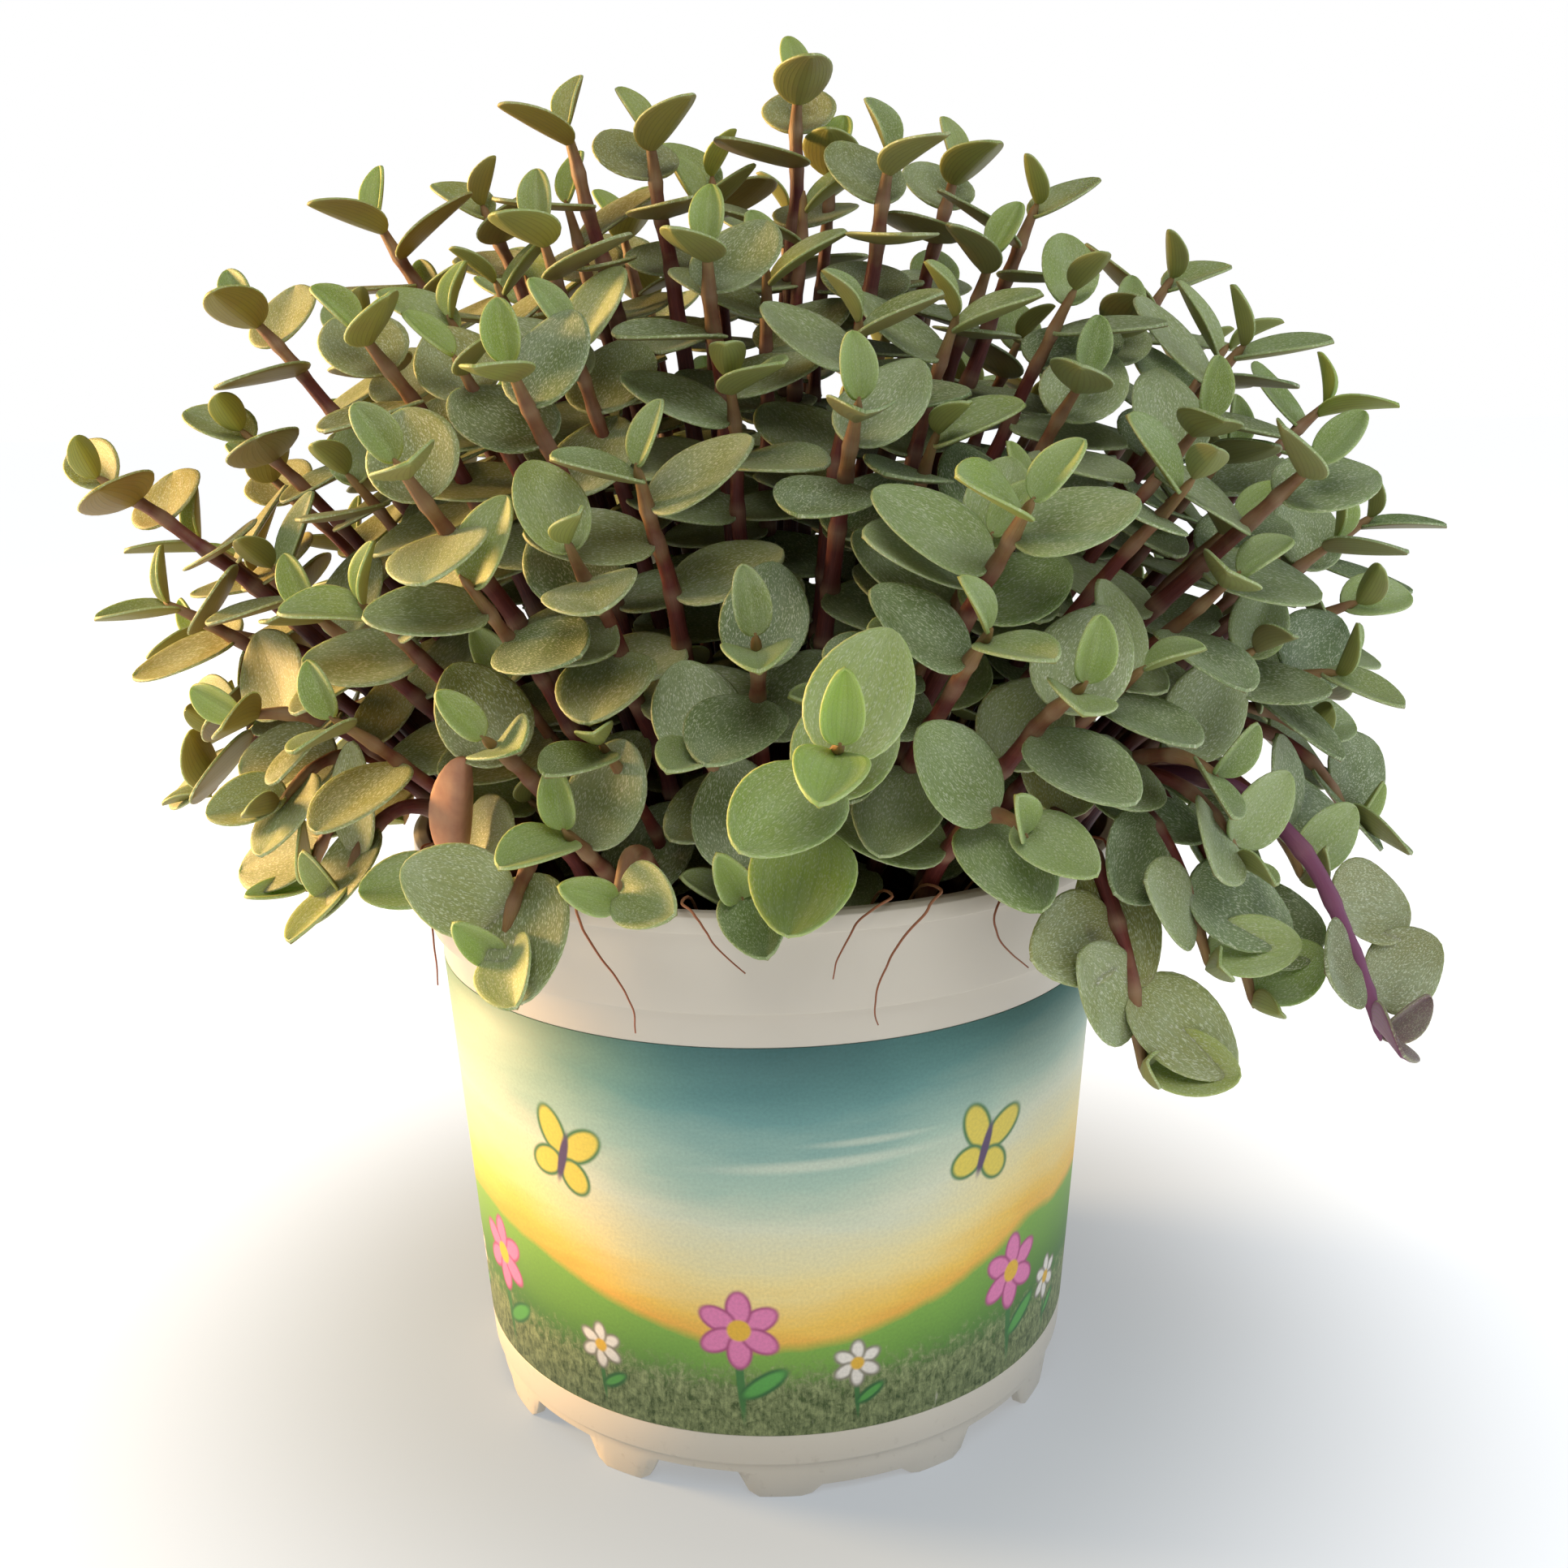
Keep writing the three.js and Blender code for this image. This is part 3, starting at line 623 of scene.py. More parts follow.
# %% The plan of the mound
SPREAD = 120.0
RISE = 136.0
PLAN = {
    "rim": [
        (28, -58, 21, 45, 6), (-23, -51, 21, 80, 5), (-17, -55, 14, 10, 4), (-3, -54, 14, 60, 3),
        (43, -53, -6, 20, 6), (75, -41, -7, 150, 5), (-54, -30, 8, 60, 5), (-39, -36, 10, 140, 4)],
    "crown": [
        (6, 8, 98, 80, 6), (-14, 0, 92, 20, 6), (-25, 2, 93, 95, 6), (17, -12, 88, 60, 6),
        (28, 12, 89, 100, 6), (38, 4, 84, 10, 6), (-6, -25, 78, 95, 6), (12, -29, 70, 15, 6),
        (-39, 17, 86, 150, 6), (5, 33, 86, 40, 6)],
    "front": [
        (-28, -40, 66, 70, 6), (-40, -46, 57, 30, 6), (11, -42, 62, 85, 6), (-14, -42, 56, 130, 6),
        (28, -58, 53, 160, 6), (24, -57, 41, 35, 6), (-1, -50, 40, 75, 6), (34, -58, 36, 110, 6),
        (7, -76, 34, 95, 6), (-32, -48, 30, 20, 6)],
    "left": [
        (-48, -25, 70, 0, 6), (-53, 12, 84, 60, 6), (-71, 8, 73, 15, 6), (-91, 0, 54, 170, 6),
        (-82, -4, 39, 80, 6), (-58, -21, 40, 40, 6), (-48, -34, 42, 120, 6), (-69, -18, 27, 10, 6)],
    "right": [
        (61, -17, 67, 50, 6), (50, 2, 70, 140, 6), (60, 17, 76, 30, 6), (64, -38, 55, 170, 6),
        (85, 21, 60, 100, 6), (88, 8, 46, 70, 6), (81, -8, 37, 20, 6), (74, 0, 22, 60, 6),
        (53, -42, 23, 120, 6)],
    "back": [
        (-20, 55, 72, 30, 6), (22, 58, 66, 110, 6), (50, 48, 62, 60, 6), (-50, 46, 64, 160, 6),
        (-5, 76, 44, 20, 6), (35, 72, 36, 90, 6), (-34, 70, 38, 130, 6), (66, 52, 32, 45, 6),
        (-66, 48, 36, 75, 6), (80, 36, 24, 10, 6), (-78, 30, 22, 100, 6), (4, 62, 12, 50, 6)]}
STEM_RADIUS = 1.2
ROOT_DEPTH = 4.0
FAN_DEPTH = 45.0
STEM_ROOM = 1.0
RIM_ROOM = 1.4
SAMPLES = 30
ROOT_SHIFTS = (0, 4, -4, 8, -8, 12, -12, 16, -16, 20, -20, 25, -25, 30, -30, 36, -36)
ARCH_STEP = 3.0
ARCH_LIMIT = 60.0
POT_TOP = round(POT_HEIGHT / MM, 2)
SOIL = round(SOIL_TOP / MM, 2)
RIM = round(BASE_RADIUS / MM, 2) + DRAFT * POT_TOP + 2.3
MOUTH = RIM - 2.5
STEM_REACH = MOUTH - STEM_RADIUS - RIM_ROOM
print("shoots planned:", sum(len(rows) for rows in PLAN.values()), "mouth radius: %.2f" % MOUTH)

# %% Stems find their room
def along(curve, share):
    """Points on a cubic curve at one share or at several shares of its parameter."""
    t = np.asarray(share, float)[..., None]
    a, b, c, d = curve
    return (1 - t) ** 3 * a + 3 * (1 - t) ** 2 * t * b + 3 * (1 - t) * t ** 2 * c + t ** 3 * d


def direction(curve, share):
    """The stem's direction at one share of its parameter."""
    low, high = max(share - 0.0001, 0), min(share + 0.0001, 1)
    step = along(curve, high) - along(curve, low)
    return step / np.linalg.norm(step)


def stem_curve(tip, shift, arch):
    """The four control points of a stem that ends at a tip."""
    tip_reach = math.hypot(tip[0], tip[1])
    heading = math.atan2(tip[1], tip[0]) + math.radians(shift)
    height = tip[2] - SOIL
    fan = tip_reach * FAN_DEPTH / max(height + FAN_DEPTH, 1)
    root_reach = min(fan, STEM_REACH - 5)
    collar = min(root_reach + 0.15 * (tip_reach - root_reach), STEM_REACH - 3)
    out = np.array([math.cos(heading), math.sin(heading), 0.0])
    root = out * root_reach + (0, 0, SOIL - ROOT_DEPTH)
    low = out * collar + (0, 0, SOIL + 0.35 * max(height, 0) + arch)
    high = root + (tip - root) * (0.72 if arch > 0 else 0.55)
    high[2] = (max(tip[2], POT_TOP) + low[2] + arch) / 2 if arch > 0 else SOIL + 0.7 * height
    return np.array([root, low, high, tip])


def clears_rim(points):
    """Whether every point of a stem is over the rim, outside it or well inside it."""
    reach = np.hypot(points[:, 0], points[:, 1])
    over = points[:, 2] > POT_TOP + STEM_RADIUS + RIM_ROOM
    outside = reach > RIM + STEM_RADIUS + RIM_ROOM
    return bool(np.all(over | outside | (reach < STEM_REACH)))


def clears_stems(points, shoots, room):
    """Whether a stem keeps its distance from every stem that stands already."""
    apart = 2 * STEM_RADIUS + room
    return all(np.linalg.norm(points[:, None] - other["points"][None], axis=2).min() >= apart
               for other in shoots)


def grow_stem(tip, shoots, room=STEM_ROOM):
    """A stem to a tip, with its root moved and its arch raised until it has room."""
    shares = np.arange(SAMPLES + 1) / SAMPLES
    for shift in ROOT_SHIFTS:
        arch = 0.0
        curve = stem_curve(tip, shift, arch)
        while not clears_rim(along(curve, shares)) and arch < ARCH_LIMIT:
            arch += ARCH_STEP
            curve = stem_curve(tip, shift, arch)
        points = along(curve, shares)
        if clears_rim(points) and clears_stems(points, shoots, room):
            return {"curve": curve, "points": points, "leaves": []}
    return None


shoots = []
for zone, rows in PLAN.items():
    for number, (x, y, height, turn, count) in enumerate(rows, 1):
        tip = np.array([x * SPREAD / 100, y * SPREAD / 100, SOIL + height * RISE / 100])
        shoot = grow_stem(tip, shoots)
        shoot.update(name=f"shoot_{zone}_{number}", zone=zone, turn=turn, count=count)
        shoots.append(shoot)
print("stems grown:", len(shoots))

# %% [markdown]
# ## Where the leaves grow
# Turtle vine carries its leaves in two ranks, each a little more than half a turn
# on from the last. The youngest stand up close round the tip, and older ones lie
# flatter. A leaf that would cut another shoot turns about its own stem, and is
# left out if no turn gives it room, much as real leaves push past each other.
# Below the CAD model's six leaves, each shoot goes on to carry older leaves.

# %% Leaves find their room
LEAF_LENGTH = 17.0
LEAF_WIDTH = 13.6
LEAF_THICK = 1.4
LEAF_CUP = 1.6
LEAF_ROOM = 0.5
POT_ROOM = 2.0
NODE_TWIST = 12
TURNS = (0, 25, -25, 50, -50, 75, -75, 100, -100)
LIGHT_PULL = 0.8
LIGHT_FRONT = 0.5
STEPS = [(0.5, 0.5, 52), (3, 0.76, 34), (7.5, 0.94, 22), (13, 1, 14), (22, 1, 8), (31, 1, 2)]
LOWER_STEPS = [(40, 0.96, -2), (49, 0.94, -6), (60, 0.9, -8), (74, 0.84, -12)]


def share_back(points, back):
    """The parameter at a distance back from the tip, or -1 below the root."""
    lengths = np.concatenate([[0], np.cumsum(np.linalg.norm(np.diff(points, axis=0), axis=1))])
    wanted = lengths[-1] - back
    if wanted < ROOT_DEPTH + LEAF_ROOM:
        return -1
    return float(np.interp(wanted, lengths, np.arange(SAMPLES + 1) / SAMPLES))


def leaf_up(ahead, point):
    """The way a leaf faces: along its stem, turned to the light, and out where it hangs."""
    hang = max(-ahead[2], 0)
    out_and_up = np.array([point[0], point[1], 0]) / math.hypot(point[0], point[1]) + (0, 0, 1)
    up = ahead + LIGHT_PULL * np.array([0, -LIGHT_FRONT, 1]) + hang * out_and_up
    return up / np.linalg.norm(up)


def leaf_at(shoot, step, turn):
    """A leaf's place as centre, axis, face and across, with its half sizes."""
    back, size, lift = step
    share = share_back(shoot["points"], back)
    if share < 0:
        return None
    up = leaf_up(direction(shoot["curve"], share), along(shoot["curve"], share))
    side = np.cross(up, (0, 0, 1))
    side /= np.linalg.norm(side)
    front = np.cross(side, up)
    turn, lift = math.radians(turn), math.radians(lift)
    away = side * math.cos(turn) + front * math.sin(turn)
    axis = away * math.cos(lift) + up * math.sin(lift)
    face = up * math.cos(lift) - away * math.sin(lift)
    half = LEAF_LENGTH * size / 2
    centre = along(shoot["curve"], share) + axis * half
    return {"centre": centre, "axis": axis, "face": face, "across": np.cross(axis, face),
            "half": half, "wide": LEAF_WIDTH * size / 2, "back": back, "size": size}


def half_extent(leaf, directions):
    """Half the room that a leaf takes up along each of several directions."""
    lengthwise = leaf["half"] * directions @ leaf["axis"]
    sideways = leaf["wide"] * directions @ leaf["across"]
    thick = (LEAF_THICK + LEAF_CUP) / 2 * np.abs(directions @ leaf["face"])
    return np.hypot(lengthwise, sideways) + thick


def leaves_clear(a, b, room):
    """Whether some plane keeps two leaves apart."""
    offset = b["centre"] - a["centre"]
    directions = np.array([a["face"], b["face"], offset / np.linalg.norm(offset), a["axis"], b["axis"],
                           a["across"], b["across"]])
    needed = half_extent(a, directions) + half_extent(b, directions) + room
    return bool(np.any(np.abs(directions @ offset) > needed))


def leaf_clears_points(leaf, points, room):
    """Whether each stem point near a leaf has room from it."""
    for offset in points - leaf["centre"]:
        directions = np.array([leaf["face"], offset / np.linalg.norm(offset), leaf["axis"], leaf["across"]])
        needed = half_extent(leaf, directions) + STEM_RADIUS + room
        if not np.any(np.abs(directions @ offset) > needed):
            return False
    return True


def leaf_clears_pot(leaf):
    """Whether a leaf is above the rim, or wholly outside it, or inside it over the mix."""
    angles = np.arange(8) * math.pi / 4
    points = (leaf["centre"] + np.outer(leaf["half"] * np.cos(angles), leaf["axis"])
              + np.outer(leaf["wide"] * np.sin(angles), leaf["across"]))
    reach = np.hypot(points[:, 0], points[:, 1])
    lowest = points[:, 2].min()
    outside = reach.min() > RIM + POT_ROOM and lowest > POT_ROOM
    inside = reach.max() < MOUTH - POT_ROOM and lowest > SOIL + POT_ROOM
    return bool(lowest > POT_TOP + POT_ROOM or outside or inside)


def has_room(leaf, own, shoots, stems, owners, room):
    """Whether a leaf clears the pot and every other shoot. Only near things are tested fully."""
    if not leaf_clears_pot(leaf):
        return False
    reach = leaf["half"] + LEAF_THICK + LEAF_CUP + STEM_RADIUS + LEAF_ROOM + 2
    near = (np.linalg.norm(stems - leaf["centre"], axis=1) < reach) & (owners != own)
    if not leaf_clears_points(leaf, stems[near], room):
        return False
    placed = [other for i, shoot in enumerate(shoots) if i != own for other in shoot["leaves"]]
    if not placed:
        return True
    apart = np.linalg.norm(np.array([other["centre"] for other in placed]) - leaf["centre"], axis=1)
    return all(leaves_clear(leaf, placed[i], room) for i in np.flatnonzero(apart < LEAF_LENGTH + 6))


def grow_leaves(growing, shoots, steps, first_order, room=LEAF_ROOM):
    """Adds leaves step by step to the growing shoots, tip leaves first."""
    stems = np.concatenate([shoot["points"] for shoot in shoots])
    owners = np.repeat(np.arange(len(shoots)), SAMPLES + 1)
    for order, step in enumerate(steps, first_order):
        for own, shoot in enumerate(shoots):
            if not any(shoot is one for one in growing) or (first_order == 0 and order >= shoot["count"]):
                continue
            first = shoot["turn"] + (180 + NODE_TWIST) * order
            for extra in TURNS:
                leaf = leaf_at(shoot, step, first + extra)
                if leaf is not None and has_room(leaf, own, shoots, stems, owners, room):
                    shoot["leaves"].append(leaf)
                    break


grow_leaves(shoots, shoots, STEPS, 0)
print("leaves as in the CAD model:", sum(len(shoot["leaves"]) for shoot in shoots))
full = [shoot for shoot in shoots if shoot["count"] == 6]
grow_leaves(full, shoots, LOWER_STEPS, 6)
print("with the older leaves:", sum(len(shoot["leaves"]) for shoot in shoots))

# %% [markdown]
# ## Side shoots and young shoots
# The CAD model holds the plant's main shoots. A real pot has many more, so side
# shoots now fill the mound between the main tips, a little further in. Their tips
# lie on a spiral round the dome, which spaces them evenly, and the dome's size in
# each direction is taken from the main tips near it. A window low at the front is
# kept free of them, as the plant shows its stems there. Short new shoots rise from
# the mix as well and close the gaps low in the plant, where only dim green shows
# between dark stems. All of them follow the same rules of room, and one that
# finds no room is dropped.

# %% Grow the side shoots
CLOSE_STEMS = -0.6
CLOSE_LEAVES = -1.2
SPIRAL_TIPS = 210
TIP_SPACING = 13.5
WINDOW_HALF = 38
WINDOW_HIGH = 66
GOLDEN_TURN = math.pi * (3 - math.sqrt(5))
TRAILING = [(52, -46, 3), (60, -38, -4), (34, -58, 5), (68, -30, 8), (-44, -40, 2), (-62, -18, 6),
            (-30, -54, 8), (80, -14, 10), (58, 20, 2), (-58, 24, 4), (0, 66, 2), (30, 58, 0), (-36, 54, 2)]
side_rng = random.Random(9)
main_tips = np.array([shoot["curve"][3] for shoot in shoots])
dome = main_tips - (0, 0, SOIL)
dome_reach = np.linalg.norm(dome, axis=1)
wanted = [np.array([x * SPREAD / 100, y * SPREAD / 100, SOIL + h * RISE / 100]) for x, y, h in TRAILING]
for k in range(SPIRAL_TIPS):
    upward = 1 - 0.9 * (k + 0.5) / SPIRAL_TIPS
    flat = math.sqrt(1 - upward ** 2)
    way = np.array([flat * math.cos(k * GOLDEN_TURN), flat * math.sin(k * GOLDEN_TURN), upward])
    closeness = np.exp(-((1 - dome @ way / dome_reach) / 0.03))
    reach = (closeness * dome_reach).sum() / closeness.sum() * side_rng.uniform(0.86, 1.0)
    tip = way * reach + (0, 0, SOIL)
    in_window = abs(tip[0]) < WINDOW_HALF and tip[1] < -30 and tip[2] < SOIL + WINDOW_HIGH
    if not in_window:
        wanted.append(tip)
side_shoots = []
for tip in wanted:
    turn = side_rng.uniform(0, 360)
    tips = [*main_tips, *(shoot["curve"][3] for shoot in side_shoots)]
    if min(np.linalg.norm(tip - other) for other in tips) < TIP_SPACING:
        continue
    shoot = grow_stem(tip, shoots + side_shoots, CLOSE_STEMS)
    if shoot is None:
        continue
    shoot.update(name=f"side_{len(side_shoots) + 1}", zone="side", turn=turn, count=10)
    side_shoots.append(shoot)
grow_leaves(side_shoots, shoots + side_shoots, STEPS + LOWER_STEPS[:2], 0, CLOSE_LEAVES)
side_shoots = [shoot for shoot in side_shoots if len(shoot["leaves"]) >= 3]
print("side shoots:", len(side_shoots), "their leaves:", sum(len(shoot["leaves"]) for shoot in side_shoots))

# %% Grow the young shoots
young = []
young_rng = random.Random(5)
for _ in range(150):
    reach = 52 * math.sqrt(young_rng.random())
    angle = young_rng.uniform(0, 2 * math.pi)
    height = young_rng.uniform(18, 72) - 0.3 * reach
    turn = young_rng.uniform(0, 360)
    lean = 1.0 + 0.2 * young_rng.random()
    if height < 12:
        continue
    tip = np.array([reach * lean * math.cos(angle), reach * lean * math.sin(angle), SOIL + height])
    shoot = grow_stem(tip, shoots + side_shoots + young, 2 * CLOSE_STEMS)
    if shoot is None:
        continue
    shoot.update(name=f"young_{len(young) + 1}", zone="young", turn=turn, count=8)
    young.append(shoot)
grow_leaves(young, shoots + side_shoots + young, STEPS + LOWER_STEPS[:2], 0, CLOSE_LEAVES)
young = [shoot for shoot in young if len(shoot["leaves"]) >= 2]
print("young shoots:", len(young), "their leaves:", sum(len(shoot["leaves"]) for shoot in young))

# %% [markdown]
# ## Leaf material
# A turtle vine leaf is a small fleshy blade, about 0.6 mm thick. Its upper face
# is grey-green with a satin wax bloom. Countless pale flecks, 0.2 to 0.4 mm long,
# lie along its parallel veins. The margin is a thin pale line. Young leaves are
# yellow-green, leaves in strong light turn olive, and chilled tips turn purple.
# These states are painted on each leaf as one colour attribute: red for youth,
# green for a random shade, blue for olive, which on the leaves to the left and at
# the top is also painted warm light, and a second attribute for purple.
# The flecks follow the leaf's own UV map, which is laid out in real size.

# %% Leaf upper face
def leaf_colours(tree, young_hex, mature_light, mature_dark, olive_hex, purple_hex):
    """The blade's ground colour from its painted state, and the random shade."""
    state = add_node(tree, "ShaderNodeAttribute", attribute_name="state")
    parts = add_node(tree, "ShaderNodeSeparateColor", {"Color": state})
    purple = add_node(tree, "ShaderNodeAttribute", attribute_name="purple").outputs["Fac"]
    colour = layered(tree, mature_light, (parts.outputs["Green"], mature_dark),
                     (parts.outputs["Blue"], olive_hex), (parts.outputs["Red"], young_hex),
                     (purple, purple_hex))
    return colour, parts


def leaf_upper():
    material, tree = start_material("turtle_vine_leaf_upper_face")
    ground, parts = leaf_colours(tree, "#a0b84e", "#9aa874", "#627848", "#9a8f42", "#6f3d5c")
    place = add_node(tree, "ShaderNodeTexCoord").outputs["Object"]
    uv = add_node(tree, "ShaderNodeUVMap", uv_map="blade")
    sides = add_node(tree, "ShaderNodeSeparateXYZ", {"Vector": uv})
    off_middle = add_node(tree, "ShaderNodeMath", {0: sides.outputs["X"], 1: 0.5}, operation="SUBTRACT")
    from_middle = add_node(tree, "ShaderNodeMath", {0: off_middle}, operation="ABSOLUTE")
    edge = add_node(tree, "ShaderNodeMapRange", {
        "Value": from_middle, "From Min": 0.475, "From Max": 0.5,
        "To Max": 0.3}, interpolation_type="SMOOTHSTEP")
    vein_phase = add_node(tree, "ShaderNodeMath", {0: from_middle, 1: 56.5}, operation="MULTIPLY")
    vein_wave = add_node(tree, "ShaderNodeMath", {0: vein_phase}, operation="COSINE")
    veins = add_node(tree, "ShaderNodeMapRange", {
        "Value": vein_wave, "From Min": 0.5, "From Max": 1.0, "To Max": 0.16})
    fleck_place = add_node(tree, "ShaderNodeMapping", {"Vector": uv, "Scale": (58, 32, 1)})
    leaf_shift = add_node(tree, "ShaderNodeVectorMath", {0: place, 1: (60, 60, 60)}, operation="MULTIPLY")
    shifted = add_node(tree, "ShaderNodeVectorMath", {0: fleck_place, 1: leaf_shift}, operation="ADD")
    flecks = add_node(tree, "ShaderNodeTexNoise", {
        "Vector": shifted, "Scale": 1.35, "Detail": 3.0, "Roughness": 0.6})
    fleck_here = add_node(tree, "ShaderNodeMapRange", {
        "Value": flecks, "From Min": 0.53, "From Max": 0.62, "To Max": 0.68})
    bloom = add_node(tree, "ShaderNodeTexNoise", {
        "Vector": place, "Scale": 1 / (7 * MM), "Detail": 3.0})
    bloom_here = add_node(tree, "ShaderNodeMapRange", {
        "Value": bloom, "From Min": 0.38, "From Max": 0.7, "To Max": 0.3})
    grown = add_node(tree, "ShaderNodeMapRange", {
        "Value": parts.outputs["Red"], "To Min": 1.0, "To Max": 0.35})
    fleck_share = add_node(tree, "ShaderNodeMath", {0: fleck_here, 1: grown}, operation="MULTIPLY")
    colour = layered(tree, ground, (bloom_here, "#b4c0a6"), (veins, "#5f774c"), (fleck_share, "#d3d8bd"),
                     (edge, "#bcc59a"))
    relief = add_node(tree, "ShaderNodeMath", {
        0: veins, 1: -1.2, 2: flecks}, operation="MULTIPLY_ADD")
    bump = add_node(tree, "ShaderNodeBump", {
        "Height": relief, "Strength": 0.35, "Distance": 0.12 * MM})
    rough = add_node(tree, "ShaderNodeMapRange", {
        "Value": bloom, "To Min": 0.42, "To Max": 0.62})
    return surfaced(material, tree, {
        "Base Color": colour, "Roughness": rough, "IOR": 1.43,
        "Subsurface Weight": 0.3, "Subsurface Radius": (0.7, 1.0, 0.25), "Subsurface Scale": 1.6 * MM,
        "Normal": bump})


upper = leaf_upper()
print("material:", upper.name)

# %% [markdown]
# The underside has no flecks. It is olive-brown, flushed with maroon where the
# light comes through, and its veins stand out as fine lines.

# %% Leaf underside
def leaf_under():
    material, tree = start_material("turtle_vine_leaf_underside")
    ground, _ = leaf_colours(tree, "#9aaa4a", "#8a9060", "#74704e", "#86702f", "#8a4a7c")
    uv = add_node(tree, "ShaderNodeUVMap", uv_map="blade")
    across = add_node(tree, "ShaderNodeSeparateXYZ", {"Vector": uv}).outputs["X"]
    vein_phase = add_node(tree, "ShaderNodeMath", {0: across, 1: 88.0}, operation="MULTIPLY")
    wave = add_node(tree, "ShaderNodeMath", {0: vein_phase}, operation="COSINE")
    veins = add_node(tree, "ShaderNodeMapRange", {
        "Value": wave, "From Min": 0.3, "From Max": 1.0, "To Max": 0.3})
    place = add_node(tree, "ShaderNodeTexCoord").outputs["Object"]
    flush = add_node(tree, "ShaderNodeTexNoise", {"Vector": place, "Scale": 1 / (9 * MM), "Detail": 3.0})
    flush_here = add_node(tree, "ShaderNodeMapRange", {
        "Value": flush, "From Min": 0.45, "From Max": 0.75, "To Max": 0.35})
    colour = layered(tree, ground, (flush_here, "#7c5240"), (veins, "#66603c"))
    bump = add_node(tree, "ShaderNodeBump", {
        "Height": veins, "Strength": 0.3, "Distance": 0.12 * MM})
    return surfaced(material, tree, {
        "Base Color": colour, "Roughness": 0.5, "IOR": 1.43,
        "Subsurface Weight": 0.3, "Subsurface Radius": (0.9, 0.8, 0.2), "Subsurface Scale": 1.6 * MM,
        "Normal": bump})


under = leaf_under()
print("material:", under.name)

# %% [markdown]
# ## The leaf
# Every leaf starts as one small grid. Its rows close up towards both ends, so the
# base is round and the tip comes to a short point. Each leaf gets its own cup,
# curl and twist, as leaves that push past each other do. `solidify` gives the
# fleshy thickness and puts the underside's material on the lower skin. One level
# of subdivision rounds the margin.

# %% Leaf grid
GRID_ACROSS = 6
GRID_ALONG = 7
BLADE_THICK = 0.6


def blade_grid():
    """The flat grid every leaf starts from, as shares across (-1 to 1) and along (0 to 1)."""
    bm = bmesh.new()
    bmesh.ops.create_grid(bm, x_segments=GRID_ACROSS, y_segments=GRID_ALONG, size=0.5)
    verts = np.array([v.co[:2] for v in bm.verts])
    faces = [[v.index for v in face.verts] for face in bm.faces]
    bm.free()
    return verts[:, 0] * 2, verts[:, 1] + 0.5, faces


blade_u, blade_v, blade_faces = blade_grid()
blade_y = (1 - np.cos(math.pi * blade_v)) / 2
blade_width = np.clip(blade_y, 0, 1) ** 0.44 * np.clip(1 - blade_y, 0, 1) ** 0.56
blade_width /= blade_width.max()
print("faces in one leaf:", len(blade_faces))


def blade_points(leaf, rng):
    """A leaf's own points in millimetres, in the plant's frame."""
    cup = rng.uniform(0.5, 1.5)
    curl = rng.uniform(-0.6, 1.3)
    twist = rng.uniform(-0.12, 0.12)
    size = 1.04 * rng.uniform(0.95, 1.05)
    length = 2 * leaf["half"] * size
    furl = max(0, 1 - leaf["back"] / 5)
    wide = leaf["wide"] * rng.uniform(1.0, 1.1) * (1 - 0.35 * furl)
    u = np.sign(blade_u) * np.abs(blade_u) ** 0.85
    y = blade_y + 0.2 * np.clip(blade_y - 0.8, 0, 1)
    x = u * blade_width * wide
    lift = cup * (u * blade_width) ** 2 + curl * (blade_y - 0.45) ** 2 * 2 - 0.35 * (np.abs(blade_u) < 0.1)
    lift += twist * x * blade_y + leaf.get("fold", 0.5 * furl) * np.abs(x)
    centre = leaf["centre"] - leaf["axis"] * leaf["half"]
    return (centre + np.outer(x, leaf["across"]) + np.outer(y * length, leaf["axis"])
            + np.outer(lift, leaf["face"]))


def leaf_mesh(name, leaves, states, seed):
    """One mesh that holds several leaves, with their UV map and painted states."""
    rng = random.Random(seed)
    bm = bmesh.new()
    uv = bm.loops.layers.uv.new("blade")
    state = bm.verts.layers.float_color.new("state")
    purple = bm.verts.layers.float.new("purple")
    for leaf, (youth, shade, olive, violet) in zip(leaves, states):
        points = blade_points(leaf, rng) * MM
        grid = bmesh.ops.create_grid(bm, x_segments=GRID_ACROSS, y_segments=GRID_ALONG, size=0.5)["verts"]
        for vert, point, u, v in zip(grid, points, blade_u, blade_v):
            vert.co = point
            vert[state] = (youth, shade, olive, 1)
            vert[purple] = violet
        places = {vert: (u / 2 + 0.5, v) for vert, u, v in zip(grid, blade_u, blade_v)}
        for face in {face for vert in grid for face in vert.link_faces}:
            for loop in face.loops:
                loop[uv].uv = places[loop.vert]
    bmesh.ops.remove_doubles(bm, verts=bm.verts, dist=0.002 * MM)
    return mesh_from(bm, name)


def leaf_piece(name, leaves, states, seed, materials, slot, *stands_for):
    """Leaves as a finished piece: thickness with a brown lower skin, then soft margins."""
    piece = make_piece(name, leaf_mesh(name, leaves, states, seed), materials, slot, *stands_for)
    skin = piece.modifiers.new("fleshy_blade", "SOLIDIFY")
    skin.thickness = BLADE_THICK * MM
    skin.offset = -1
    skin.material_offset = 1
    soft = piece.modifiers.new("soft_margin", "SUBSURF")
    soft.levels = soft.render_levels = 1
    return piece
